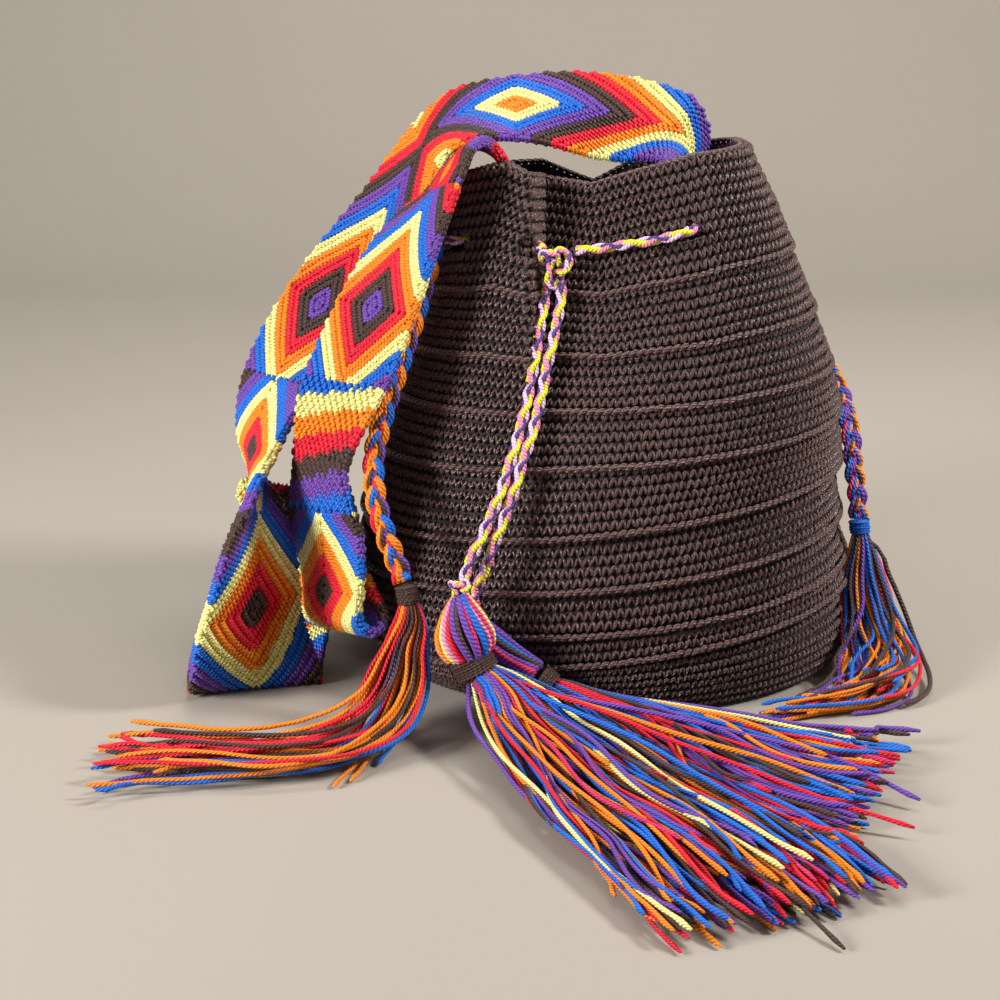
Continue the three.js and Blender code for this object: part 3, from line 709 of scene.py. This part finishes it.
def brush_frame(stations, u):
    """Centre, direction, level and upper directions and half sizes of a tassel part at u from 0 to 1."""
    rows = np.array(stations, float)
    near = 1e-3
    ahead, behind = np.clip(u + near, 0, 1), np.clip(u - near, 0, 1)
    along = unit(spline(rows[:, :3], ahead) - spline(rows[:, :3], behind))
    steep = abs(rows[-1, 2] - rows[0, 2]) > 0.6 * np.linalg.norm(rows[-1, :3] - rows[0, :3])
    level = unit(np.cross(along, (0, 1, 0) if steep else (0, 0, 1)))
    up = unit(np.cross(level, along))
    k = np.arange(len(rows)) / (len(rows) - 1)
    return spline(rows[:, :3], u), along, level, up, np.interp(u, k, rows[:, 3]), np.interp(u, k, rows[:, 4])


def make_binding(name, stations, colour):
    """Yarn wound side by side round the neck, over a plain core."""
    yarn = BINDING_YARN
    rows = np.array(stations, float)
    long = np.linalg.norm(rows[-1, :3] - rows[0, :3])
    turns = max(3, round(long / (yarn * 1.9)))
    u = np.linspace(0, 1, turns * 20 + 1)
    centre, _, level, up, wide, thick = brush_frame(stations, u)
    a = 2 * np.pi * turns * u
    wobble = 0.25 * np.sin(a * 0.37 + 1)
    path = moved(centre, level, up, (wide - yarn + wobble) * np.cos(a), (thick - yarn + wobble) * np.sin(a))
    rows[:, 3:] -= yarn * 1.4
    slot = colour_index(colour)
    return make_piece(name, [tubes(path[None], yarn, 6, slot), solid_brush(rows, slot)],
                      yarn_set)


def solid_brush(stations, slot):
    """A plain closed body through the stations."""
    sides, steps = 14, 8
    centre, _, level, up, wide, thick = brush_frame(stations, np.linspace(0, 1, steps))
    k = np.arange(sides)
    a = 2 * np.pi * k / sides
    ring = (centre[:, None] + level[:, None] * (wide[:, None] * np.cos(a))[..., None]
            + up[:, None] * (thick[:, None] * np.sin(a))[..., None])
    verts = np.concatenate([ring.reshape(-1, 3), centre[:1], centre[-1:]])
    points = steps * sides
    tris = np.concatenate([fan(points, k), fan(points + 1, points - sides + k, turned=True)])
    faces = [grid_quads(steps, sides)[0][:, ::-1], tris]
    uvs = [np.zeros((*f.shape, 2)) for f in faces]
    return part(verts, faces, uvs, [np.full(len(f), slot) for f in faces], 0.1)


def make_head(name, stations, count, colours):
    """Yarns laid lengthwise over a bulb, between the cord and the binding."""
    u = np.linspace(0, 1, 22)
    centre, _, level, up, wide, thick = brush_frame(stations, u)
    paths = []
    for k in range(count):
        sway = 0.12 * rng.normal() * np.sin(np.pi * u + rng.uniform(0, 3))
        a = 2 * np.pi * k / count + HEAD_TWIST * u + sway
        deep = 1.2 + 0.9 * (k % 2) * rng.uniform(0.5, 1)
        paths.append(moved(centre, level, up, (wide - deep) * np.cos(a), (thick - deep) * np.sin(a)))
    slots = [colour_index(colours[k % len(colours)]) for k in range(count)]
    core = np.array(stations, float)
    core[:, 3:] = np.maximum(core[:, 3:] - 3, 0.5)
    return make_piece(name, [tubes(np.array(paths), HEAD_YARN, 7, slots, rng.uniform(0.1, 0.8, count)),
                             solid_brush(core, colour_index("brown"))], yarn_set)


def fringe_yarn(stations, travel, spot, sway, curling, shortest):
    """A yarn from its spot in the neck, that drifts and sways across the fringe and may curl at its end.

    travel holds shares of the fringe's length and the places on its centre line where they lie.
    """
    x0, y0 = spot
    end = 1 - (1 - shortest) * rng.uniform() ** 1.5
    v = np.linspace(0, end, YARN_POINTS)
    centre, along, level, up, wide, thick = brush_frame(stations, np.interp(v, *travel))
    far = np.clip(x0 * 0.9 + rng.normal(0, 0.32), -1, 1)
    x = x0 + (far - x0) * smooth(0.02, 0.75, v)
    y = y0 * (1 - 0.2 * v) + rng.normal(0, 0.3) * smooth(0.1, 0.6, v)
    for _ in range(2):
        waves, phase = rng.uniform(0.7, 2.4), rng.uniform(0, 6.28)
        gain = sway * rng.uniform(0.3, 1.0) * smooth(0.05, 0.6, v)
        x = x + gain * np.sin(2 * np.pi * waves * v + phase) / (1 + waves)
        y = y + 0.5 * gain * np.sin(2 * np.pi * waves * v + phase + 1.3)
    x, y = np.clip(x, -1, 1), np.clip(y, -1, 1)
    y = y * np.sqrt(np.maximum(1 - 0.6 * x**2, 0.2))
    path = moved(centre, level, up, (wide - FRINGE_YARN / 2) * x, (thick - FRINGE_YARN / 2) * y)
    curl = smooth(end * 0.88, end, v) ** 2 * rng.uniform(-1, 1) * curling
    return path + (level * curl[:, None] - along * (np.abs(curl) * 0.5)[:, None])


def stray_yarn(route):
    """A yarn along a route of its own, with a slight wave."""
    path = even(route, YARN_POINTS)
    wave = np.sin(np.linspace(0, 15, YARN_POINTS) + rng.uniform(0, 6))
    tall = min(1.6, lengths(path)[-1] * 0.008)
    path[:, 0] += tall * (smooth(0, 0.4, np.linspace(0, 1, YARN_POINTS)) * wave)
    return path


def make_fringe(name, stations, count, colours, sway, curling, shortest, strays=()):
    """Separate yarns that leave the neck together and spread out, and a few that stray from them."""
    radius = FRINGE_YARN / 2
    place = np.linspace(0, 1, 400)
    share = lengths(spline(np.array(stations, float)[:, :3], place))
    travel = share / share[-1], place
    golden = np.pi * (3 - np.sqrt(5))
    names = list(colours)
    weight = np.array([colours[c] for c in names], float)
    picks = rng.choice(len(names), count, p=weight / weight.sum())
    paths = []
    for k in range(count):
        r = np.sqrt((k + 0.5) / count)
        spot = r * np.cos(k * golden), r * np.sin(k * golden)
        paths.append(fringe_yarn(stations, travel, spot, sway, curling, shortest))
    paths = np.array(paths + [stray_yarn(route) for _, route in strays])
    paths[..., 2] = np.maximum(paths[..., 2], radius + 0.1)
    wide = np.full(paths.shape[:2], radius) * rng.uniform(0.88, 1.12, (len(paths), 1))
    wide[:, -3:] *= np.array([1.05, 1.25, 0.7])
    slots = [colour_index(names[k]) for k in picks] + [colour_index(colour) for colour, _ in strays]
    return make_piece(name, [tubes(paths, wide, 5, slots, rng.uniform(0, 0.7, len(paths)))], yarn_set)


# ---------------------------------------------------------------- crocheted bag

def drawn_in(x, y, z):
    """How far the front wall is drawn in beside the left lobe, and the back wall at its middle."""
    gain = smooth(120, 262, z)
    front = 32 * gain * smooth(-46, -35, x) * (1 - smooth(-35, 62, x))
    back = -17 * gain * np.exp(-(((x + 6) / 30) ** 2))
    return np.where(y < 0, front, back)


def wall(angle, z, grow=0.0):
    """Points on the wall at an angle round the bag and a height, moved outward by grow."""
    cx, a, b, n = (np.interp(z, PROFILE[:, 0], PROFILE[:, k]) for k in (1, 2, 3, 4))
    c, s = np.cos(angle), np.sin(angle)
    x = cx + (a + grow) * np.sign(c) * np.abs(c) ** (2 / n)
    y = (b + grow) * np.sign(s) * np.abs(s) ** (2 / n)
    return np.stack([x, y + drawn_in(x, y, z), z + 0 * x], -1)


def rim_height(angle):
    """Height of the mouth's edge, between its lines at the front and at the back."""
    x = wall(angle, np.full(np.shape(angle), float(RIM_LEVEL)))[..., 0]
    front = np.interp(x, RIM_FRONT[:, 0], RIM_FRONT[:, 1])
    back = np.interp(x, RIM_BACK[:, 0], RIM_BACK[:, 1])
    return back + (front - back) * smooth(0.3, 0.7, 0.5 - 0.5 * np.sin(angle))


def row_z(level, angle):
    """Height of a row of stitches, which tilts with its level and follows the rim near the top."""
    tilt = np.interp(level, TILT[:, 0], TILT[:, 1])
    z = level + 0 * angle
    for _ in range(3):
        x = wall(angle, z)[..., 0]
        z = np.maximum(level + tilt * (x - TILT_MIDDLE) / TILT_REACH, 0.0)
    return z + (rim_height(angle) - RIM_LEVEL) * smooth(FOLLOWS_RIM, RIM_LEVEL, z)


def tuck(level):
    """How far the wall stands out or tucks in between its chain rows."""
    levels = CHAINS[:, 0]
    k = np.searchsorted(levels, level, side="right")
    if k == 0:
        return CHAINS[0, 1] * smooth(6, 36, level) * 0.6 - CHAINS[0, 2] * smooth(22, 35, level)
    if k == len(levels):
        return CHAINS[-1, 1] * (1 - smooth(237, 262, level))
    low, high = CHAINS[k - 1], CHAINS[k]
    t = (level - low[0]) / (high[0] - low[0])
    return low[1] * (1 - t) ** 1.2 - high[2] * t**3


def beside(line, angle):
    """Direction along a line of the wall that line gives for angles."""
    near = 0.01
    return unit(line(angle + near) - line(angle - near))


def wall_frame(level, angle, inside=False):
    """Point, row direction, outward direction and upward direction on the wall."""
    grow = -WALL if inside else tuck(level)
    z = row_z(level, angle)
    along = beside(lambda a: wall(a, row_z(level, a), grow), angle)
    out = unit(np.cross(along, wall(angle, z + 3, grow) - wall(angle, z - 3, grow)))
    return wall(angle, z, grow), along, out, np.cross(out, along)


def row_angles(level, pitch, shift, inside=False):
    """Angles at even spacing along a row."""
    a = np.linspace(0, 2 * np.pi, 721)
    line = wall(a, row_z(level, a), -WALL if inside else 0)
    s = lengths(line)
    count = int(round(s[-1] / pitch))
    return np.interp((np.arange(count) + shift % 1) * s[-1] / count, s, a)


def clear_of_slits(at, wide, tall):
    """True where a point is outside every drawstring slit, taken with these half sizes."""
    keep = np.ones(len(at), bool)
    for degrees, z in SLITS:
        a = math.radians(degrees)
        centre = wall(np.array([a]), np.array([float(z)]))[0]
        d = at - centre
        flat = np.hypot(d[:, 0], d[:, 1])
        keep &= (flat / wide) ** 2 + (d[:, 2] / tall) ** 2 > 1
    return keep


def stitch_row(level, pitch, tall, shift, inside=False):
    """A row of single crochet: each stitch is two slanting legs."""
    angle = row_angles(level, pitch, shift, inside)
    at, along, out, up = wall_frame(level, angle, inside)
    if inside:
        out = -out
    keep = clear_of_slits(at, *STITCH_GAP)
    thick = np.full(len(angle), 3.6)
    parts = []
    for lean, aside, grow, proud in ((0.62, 0.25, 1.0, 0.8), (-0.42, -0.25, 0.9, 0.35)):
        jitter = rng.normal(0, 1, (len(angle), 4))
        direction = unit(up + along * (lean + 0.1 * jitter[:, :1]))
        centre = (at + along * (aside * pitch + 0.18 * jitter[:, 1:2]) + up * (0.22 * jitter[:, 2:3])
                  + out * (proud + 0.15 * jitter[:, 3:]))
        long = tall * 1.24 * grow * (1 + 0.05 * jitter[:, 0])
        size = np.stack([long, pitch * 0.56 * (1 + 0.07 * jitter[:, 1]), thick], 1)
        # Painted light: the first, prouder leg gets a slightly higher tone than the second, less proud one.
        tone = np.clip(0.5 * grow + 0.2 * jitter[:, 3], 0, 1)
        parts.append(beads(SMALL_BEAD, centre[keep], direction[keep], out[keep], size[keep], 0, tone[keep]))
    return parts


def chain_row(level):
    """A raised rope-like row: long stitches that overlap along it, given a high tone so the row reads
    lighter: painted light on the raised ledge.
    """
    lean, lift, size = 0.5, 1.5, (7.4, 3.2, 4.2)
    angle = row_angles(level, CHAIN_PITCH, rng.uniform())
    at, along, out, up = wall_frame(level, angle)
    keep = clear_of_slits(at, *STITCH_GAP)
    jitter = rng.normal(0, 1, (len(angle), 3))
    direction = unit(along + up * (lean + 0.06 * jitter[:, :1]))
    centre = at + out * lift + up * 0.15 * jitter[:, 1:2]
    # Painted light: the chain stitches get a high tone so the raised row reads lighter than the plain rows.
    tone = np.clip(0.85 + 0.15 * jitter[:, 2], 0, 1)
    return [beads(BEAD, centre[keep], direction[keep], out[keep], size, 0, tone[keep])]


def rim_edge():
    """Two lines of slanting loops along the top edge."""
    parts = []
    for inset, lean in ((1.1, 0.5), (3.9, -0.5)):
        angle = row_angles(RIM_LEVEL, CHAIN_PITCH, inset)
        at = wall(angle, rim_height(angle) + 0.8, -inset)
        along = beside(lambda a: wall(a, rim_height(a), -inset), angle)
        up = np.array([0, 0, 1.0]) - along * along[:, 2:3]
        side = np.cross(up, along)
        parts.append(beads(FINE_BEAD, at, along + side * lean, unit(up), (6.8, 3.0, 3.6), 0,
                           rng.uniform(0.4, 0.8, len(at))))
    return parts


def bag_levels():
    """Level and height of the plain rows, finer in the base, leaving room for the chain rows."""
    stops = [3.0, *CHAINS[:, 0], RIM_LEVEL + 1.0]
    rows = []
    for k, (low, high) in enumerate(zip(stops, stops[1:])):
        pitch = ROW_PITCH if k else BASE_PITCH
        clear = pitch * 0.35 if k else 0
        room = high - low - clear
        count = max(1, int(round(room / pitch)))
        step = room / count
        rows += [(low + clear + step * (j + 0.5), step) for j in range(count)]
    return rows


def zone(level):
    """Which piece a row belongs to."""
    return "low" if level < 95 else "mid" if level < 195 else "top"


def make_crochet():
    """The stitches of the wall in three pieces by height, and those inside the mouth."""
    groups = {"low": [], "mid": [], "top": [], "inner": []}
    for j, (level, step) in enumerate(bag_levels()):
        pitch = STITCH * (0.86 if level < CHAINS[0, 0] else 1.0)
        groups[zone(level)] += stitch_row(level, pitch, step, 0.5 * (j % 2) + 0.13 * j)
    for level, *_ in CHAINS:
        groups[zone(level)] += chain_row(level)
    groups["top"] += rim_edge()
    for j in range(INNER_ROWS):
        level = RIM_LEVEL - 2 - ROW_PITCH * (j + 0.5)
        groups["inner"] += stitch_row(level, STITCH, ROW_PITCH, 0.37 * j, inside=True)
    for name, parts in groups.items():
        make_piece("bag_rows_" + name, parts, [bag_yarn])


def slit_edges(hole, shift):
    """Faces through the wall round the missing cells; shift leads from the outside to the inside."""
    rows, columns = hole.shape
    sides = []
    for i, j in zip(*np.nonzero(hole)):
        jn, jp = (j + 1) % columns, (j - 1) % columns
        a, b, c, d = i * columns + j, i * columns + jn, (i + 1) * columns + jn, (i + 1) * columns + j
        for beyond, p, q in ((hole[i - 1, j], a, b), (i + 1 >= rows or hole[i + 1, j], c, d),
                             (hole[i, jn], b, c), (hole[i, jp], d, a)):
            if not beyond:
                sides.append((p + shift, q + shift, q, p))
    return sides


def make_shell():
    """The wall under the stitches, open at the top and at the slits, with its floor and lining. Its outer
    face shows only in the gaps between the stitches and is coloured near black: painted shade.
    """
    columns, stitches, floor_row = 168, 150, 24
    k = np.arange(columns)
    e = (k + 1) % columns
    angle = 2 * np.pi * k / columns
    levels = np.concatenate([[1.0, 4], np.arange(8, RIM_LEVEL - 3, 5.5), [RIM_LEVEL - 1.0]])
    rows, shift = len(levels), len(levels) * columns
    outer = np.array([wall(angle, row_z(level, angle), tuck(level) - 1.4) for level in levels])
    inner = np.array([wall(angle, np.maximum(row_z(level, angle), FLOOR), -WALL) for level in levels])
    verts = np.concatenate([outer.reshape(-1, 3), inner.reshape(-1, 3),
                            [(*BASE_MIDDLE, 0.4), (*BASE_MIDDLE, FLOOR)]])
    centre = (outer[:-1] + np.roll(outer, -1, 1)[1:]).reshape(-1, 3) / 2
    solid = clear_of_slits(centre, SLIT_WIDE * 0.45, SLIT_TALL * 0.55)
    hole = ~solid.reshape(rows - 1, columns)
    grid, r, s = (field[solid] for field in grid_quads(rows, columns))
    top = (rows - 1) * columns
    rim = np.stack([top + k, top + e, top + e + shift, top + k + shift], 1)
    sides = slit_edges(hole, shift)
    quads = np.concatenate([grid, grid[:, ::-1] + shift, rim, sides])
    tris = np.concatenate([fan(2 * shift, k, turned=True), fan(2 * shift + 1, shift + k)])
    lift = levels / ROW_PITCH
    uv = np.stack([np.stack([s, s + 1, s + 1, s], 1) / columns * stitches,
                   lift[np.stack([r, r, r + 1, r + 1], 1)]], -1)
    quad_uv = np.concatenate([uv, uv[:, ::-1], np.zeros((columns + len(sides), 4, 2))])
    tri_uv = np.zeros((2 * columns, 3, 2))
    tri_uv[:, 0, 0] = np.tile((k + 0.5) / columns * stitches, 2)
    tri_uv[:, 0, 1] = floor_row
    # The outer face takes the near-black gap material (painted shade); the inner face, rim, slit sides and
    # floor take the lining.
    slots = [(np.arange(len(quads)) < len(grid)).astype(int), np.zeros(2 * columns, int)]
    return make_piece("bag_shell", [part(verts, [quads, tris], [quad_uv, tri_uv], slots)],
                      [bag_lining, bag_gap_shade])


# ---------------------------------------------------------------- strap

def strap_curve():
    """Length along the strap, its centre line, and the directions of its width and of its upper face."""
    u = np.linspace(0, 1, 4001)
    centre = spline(STRAP_ROUTE[:, :3], u)
    f = u * (len(STRAP_ROUTE) - 1)
    stations = np.arange(len(STRAP_ROUTE))
    side = unit(np.stack([np.interp(f, stations, STRAP_ROUTE[:, k]) for k in (3, 4, 5)], 1))
    along = unit(np.gradient(centre, axis=0))
    return lengths(centre), centre, side, unit(np.cross(along, side))


STRAP = strap_curve()


def on_strap(s, v, lift=0.0):
    """Point, length, width and upper directions of the strap at s along it, v across and lift above it."""
    at_s, *fields = STRAP
    c, w, n = (np.stack([np.interp(s, at_s, field[:, k]) for k in range(3)], -1) for field in fields)
    w, n = unit(w), unit(n)
    return c + w * np.asarray(v)[..., None] + n * np.asarray(lift)[..., None], unit(np.cross(w, n)), w, n


def make_band():
    """The thin band under the knots, in the colours of the diamonds."""
    steps, columns = 280, 9
    s = np.linspace(0, STRAP[0][-1], steps)
    v = np.linspace(-STRAP_WIDTH / 2 + 1, STRAP_WIDTH / 2 - 1, columns)
    loop_v = np.concatenate([v, v[::-1]])
    n = len(loop_v)
    lift = np.where(np.arange(n) < columns, STRAP_CORE / 2, -STRAP_CORE / 2)
    ss, vv = np.meshgrid(s, loop_v, indexing="ij")
    verts = on_strap(ss, vv, np.broadcast_to(lift, vv.shape))[0].reshape(-1, 3)
    quads, r, c = grid_quads(steps, n)
    k = np.arange(columns - 1)
    caps = np.concatenate([np.stack([k + 1, k, n - 1 - k, n - 2 - k], 1),
                           (steps - 1) * n + np.stack([k, k + 1, n - 2 - k, n - 1 - k], 1)])
    faces = np.concatenate([quads, caps])
    colours = pattern((s[r] + s[r + 1]) / 2, (loop_v[c] + loop_v[(c + 1) % n]) / 2)
    slots = np.concatenate([colours, np.zeros(len(caps), int)])
    return make_piece("strap_band", [part(verts, [faces], [np.zeros((*faces.shape, 2))], [slots], 0.1)],
                      rib_set)


def pattern(s, v):
    """Index of the yarn colour at s along the strap and v across it."""
    result = np.zeros(np.shape(s), int)
    for start, end, centre, stretch, slope, middle, sequence in DIAMONDS:
        out = np.abs(s - centre) / stretch + slope * np.abs(v - middle)
        ring = (out / COLOUR_BAND).astype(int).clip(0, len(sequence) - 1)
        inside = (s >= start) & (s < end)
        result[inside] = np.array([colour_index(c) for c in sequence])[ring[inside]]
    return result


def rib_cells(band, step):
    """Cells along the diamonds' sides: place, how drawn out the strap is and which way is outward."""
    rows = []
    half = STRAP_WIDTH / 2
    for start, end, centre, stretch, slope, _, _ in DIAMONDS:
        if slope < 1:
            d, w = np.meshgrid(np.arange(start, end, band) + band / 2,
                               np.arange(-half + step / 2, half, step))
            d += np.arange(len(w))[:, None] % 2 * band / 2
            rows.append(np.stack([d.ravel(), w.ravel(), np.ones(d.size), np.zeros(d.size)], 1))
            continue
        for way, reach in ((-1, centre - start), (1, end - centre)):
            for line in np.arange(band / 2, reach / stretch + half, band):
                q = np.arange(-line + step / 2, line, step)
                d, w = (line + q) / 2, (line - q) / 2
                ok = (d * stretch < reach) & (w < half - 0.4)
                for turn in (-1, 1):
                    cell = [centre + way * d * stretch, turn * w, way * stretch + 0 * d, turn + 0 * d]
                    rows.append(np.stack(cell, 1)[ok])
    return np.concatenate(rows)


# Bead, lean along the rib, length, width and height of the wraps on the ribs and of the knots in columns.
STRAP_WRAP = (SMALL_BEAD, 0.4, 5.4, 3.0, 4.2)
STRAP_KNOT = (BEAD, 0.0, 8.4, 3.9, 4.6)


def strap_face(side, ribbed):
    """Knots over one face of the strap: wraps that slant over ribs, or columns that cross the colours."""
    s, v, way, turn = rib_cells(RIB, WRAP if ribbed else COLUMN).T
    turned = (s > TURNED[0]) & (s < TURNED[1])
    keep = ((turned != (side > 0)) == ribbed) & (s > 1) & (s < STRAP[0][-1] - 1)
    s, v, way, turn = s[keep], v[keep], way[keep], turn[keep]
    at, along, wide, up = on_strap(s, v, np.full(len(s), side * (STRAP_CORE / 2 + 0.4)))
    rib = unit(along * way[:, None] - wide * turn[:, None])
    outward = unit(along * np.sign(way)[:, None] + wide * (turn * np.abs(way))[:, None])
    jitter = rng.normal(0, 1, (len(s), 3))
    shape, lean, long, wide_by, tall = STRAP_WRAP if ribbed else STRAP_KNOT
    direction = unit(outward + rib * (lean + 0.05 * jitter[:, :1]))
    size = np.stack([long + 0 * s, wide_by + 0.12 * jitter[:, 1], tall + 0.1 * jitter[:, 2]], 1)
    cross = (direction * wide).sum(1)
    room = (STRAP_WIDTH / 2 + 0.6 - np.abs(v)) / np.maximum(np.abs(cross) * size[:, 0] / 2, 1e-6)
    spare = size[:, 0] / 2 * (1 - np.clip(room, 0.2, 1))
    size[:, 0] -= spare
    at -= direction * (np.sign(cross * v) * spare / 2)[:, None]
    tone = np.clip(0.5 + 0.2 * jitter[:, 2], 0, 1)
    return beads(shape, at, direction, up * side, size, pattern(s, v), tone)


def strap_edges():
    """A line of slanting wraps along both long edges."""
    s = np.arange(1.5, STRAP[0][-1], EDGE_WRAP)
    parts = []
    for edge in (-STRAP_WIDTH / 2 + 0.6, STRAP_WIDTH / 2 - 0.6):
        v = np.full(len(s), edge)
        at, along, wide, up = on_strap(s, v)
        parts.append(beads(BEAD, at, along + up * 0.7, wide * np.sign(edge), (5.2, 3.4, 3.2), pattern(s, v),
                           rng.uniform(0.3, 0.8, len(s))))
    return parts


def make_knots(name, side):
    parts = [strap_face(side, True), strap_face(side, False)]
    return make_piece(name, parts + (strap_edges() if side > 0 else []), rib_set)


# ---------------------------------------------------------------- stage, metres

BACKDROP = [(154, 147, 138), (160, 153, 144)]
CAMERA_PLACE = (-0.061, -1.24, 0.43)
CAMERA_DOWN = 15.3
CAMERA_LENS = 75.42
# Name, place, target, size, power and colour.
LIGHTS = [
    ("key", (1.4, -0.45, 1.3), (0, -0.05, 0.1), 0.42, 39, (1.0, 0.97, 0.92)),
    ("left", (-1.45, -1.0, 0.7), (-0.05, -0.05, 0.13), 0.6, 44, (1.0, 0.97, 0.94)),
    ("wall", (0.1, 0.45, 1.75), (0.1, 1.75, 0.2), 1.2, 25, (1.0, 0.96, 0.9)),
]


def plain(name, low, high, scale):
    material, tree, shader = new_material(name, 0.85)
    colour_between(tree, shader, noise_of(tree, scale), linear(low), linear(high))
    return material


def make_stage():
    """A floor that curves up into a wall behind the bag."""
    front, start, bend, top, half, steps = -3.0, 1.3, 0.8, 3.0, 4.0, 16
    profile = [(front, 0.0), (start, 0.0)]
    for k in range(1, steps + 1):
        a = math.pi / 2 * k / steps
        profile.append((start + bend * math.sin(a), bend - bend * math.cos(a)))
    profile.append((start + bend, top))
    verts = [(x, y, z) for y, z in profile for x in (-half, half)]
    faces = [(2 * k, 2 * k + 1, 2 * k + 3, 2 * k + 2) for k in range(len(profile) - 1)]
    mesh = bpy.data.meshes.new("backdrop")
    mesh.from_pydata(verts, [], faces)
    mesh.shade_smooth()
    mesh.materials.append(plain("backdrop", *BACKDROP, 2.0))
    backdrop = bpy.data.objects.new("backdrop", mesh)
    bpy.context.scene.collection.objects.link(backdrop)


def add_light(name, place, target, size, power, colour):
    """A round soft lamp that faces its target."""
    light = bpy.data.lights.new(name, "AREA")
    light.shape = "DISK"
    light.size = size
    light.energy = power
    light.color = colour
    obj = bpy.data.objects.new(name, light)
    obj.location = place
    obj.rotation_euler = (Vector(target) - Vector(place)).to_track_quat("-Z", "Y").to_euler()
    bpy.context.scene.collection.objects.link(obj)


def make_camera():
    camera = bpy.data.cameras.new("camera")
    camera.sensor_width = 36
    camera.lens = CAMERA_LENS
    camera.clip_end = 50
    obj = bpy.data.objects.new("camera", camera)
    obj.location = CAMERA_PLACE
    obj.rotation_euler = (math.radians(90 - CAMERA_DOWN), 0, 0)
    bpy.context.scene.collection.objects.link(obj)
    bpy.context.scene.camera = obj


def make_lights():
    for light in LIGHTS:
        add_light(*light)
    world = bpy.data.worlds.new("world")
    world.use_nodes = True
    background = world.node_tree.nodes["Background"]
    background.inputs["Color"].default_value = (1.0, 0.98, 0.96, 1)
    background.inputs["Strength"].default_value = 0.24
    bpy.context.scene.world = world
    bpy.context.scene.view_settings.view_transform = "Standard"


# ---------------------------------------------------------------- build


make_camera()
make_lights()
make_stage()

ring_cord, ring_path = make_drawstring("cord_ring", RING_ROUTE)
knot = make_knot("cord_knot", KNOT_CENTRE, KNOT_SIZE, 5.0)
make_knot("cord_knot_left", END_KNOT_CENTRE, END_KNOT_SIZE, 4.4)
left_cord, left_path = make_drawstring("cord_left", LEFT_END_ROUTE, 0.6)
right_cord, right_path = make_drawstring("cord_right", RIGHT_END_ROUTE, 2.1)
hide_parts("drawstring_ring")
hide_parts("drawstring_knot")
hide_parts("drawstring_left_end")
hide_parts("drawstring_right_end")

left_braid, left_braid_path = make_braid(
    "braid_left", LEFT_BRAID_ROUTE, BRAID_D,
    [("orange", "orange", "red"), ("blue", "blue", "orange"), ("purple", "brown", "orange")])
right_braid, right_braid_path = make_braid(
    "braid_right", RIGHT_BRAID_ROUTE, BRAID_D,
    [("orange", "blue", "crimson"), ("purple", "purple", "blue"), ("orange", "brown", "purple")])
loose_path = even(LOOSE_YARN_ROUTE, 80)
loose_yarn = make_piece("yarn_loose", [tubes(loose_path[None], YARN_D / 2, 8, colour_index("brown"))],
                        yarn_set)
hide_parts("left_braid")
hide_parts("right_braid")
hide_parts("right_loose_yarn")

front_head = make_head("tassel_head_front", FRONT_HEAD, 26,
                       ["crimson", "orange", "yellow", "pink", "red", "purple", "brown", "purple", "crimson",
                        "blue", "pink"])
rear_head = make_head("tassel_head_rear", REAR_HEAD, 20, ["purple", "brown", "blue", "purple", "crimson"])
front_binding = make_binding("tassel_binding_front", FRONT_BINDING, "brown")
rear_binding = make_binding("tassel_binding_rear", REAR_BINDING, "brown")
left_binding = make_binding("braid_binding_left", LEFT_BINDING, "brown")
right_binding = make_binding("braid_binding_right", RIGHT_BINDING, "blue")
front_fringe = make_fringe(
    "fringe_front", FRONT_FRINGE, 215,
    {"red": 4, "orange": 5.4, "blue": 4.8, "purple": 4.4, "brown": 5, "yellow": 1.3, "crimson": 0.8},
    0.17, 4, shortest=0.72, strays=FRONT_STRAYS)
rear_fringe = make_fringe(
    "fringe_rear", REAR_FRINGE, 165,
    {"red": 3.4, "orange": 2.8, "blue": 5.6, "purple": 4, "brown": 5.4, "yellow": 0.3, "crimson": 1},
    0.17, 5, shortest=0.72)
left_fringe = make_fringe(
    "fringe_left", LEFT_FRINGE, 44,
    {"red": 4.4, "orange": 10, "blue": 1.5, "purple": 1.8, "brown": 3},
    0.5, 10, shortest=0.84, strays=LEFT_STRAYS)
right_fringe = make_fringe(
    "fringe_right", RIGHT_FRINGE, 42,
    {"red": 2, "orange": 4, "blue": 3, "purple": 4, "brown": 2},
    0.8, 6, shortest=0.55, strays=RIGHT_STRAYS)
for piece, cad in ((front_head, "front_tassel_head"), (rear_head, "rear_tassel_head"),
                   (front_binding, "front_tassel_binding"), (rear_binding, "rear_tassel_binding"),
                   (left_binding, "left_braid_binding"), (right_binding, "right_braid_binding"),
                   (front_fringe, "front_tassel_fringe"), (rear_fringe, "rear_tassel_fringe"),
                   (left_fringe, "left_fringe"), (right_fringe, "right_fringe")):
    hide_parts(cad)

band = make_band()
knots_upper = make_knots("strap_knots_upper", 1)
knots_lower = make_knots("strap_knots_lower", -1)
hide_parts("shoulder_strap")

shell = make_shell()
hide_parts("bag_body")
make_crochet()
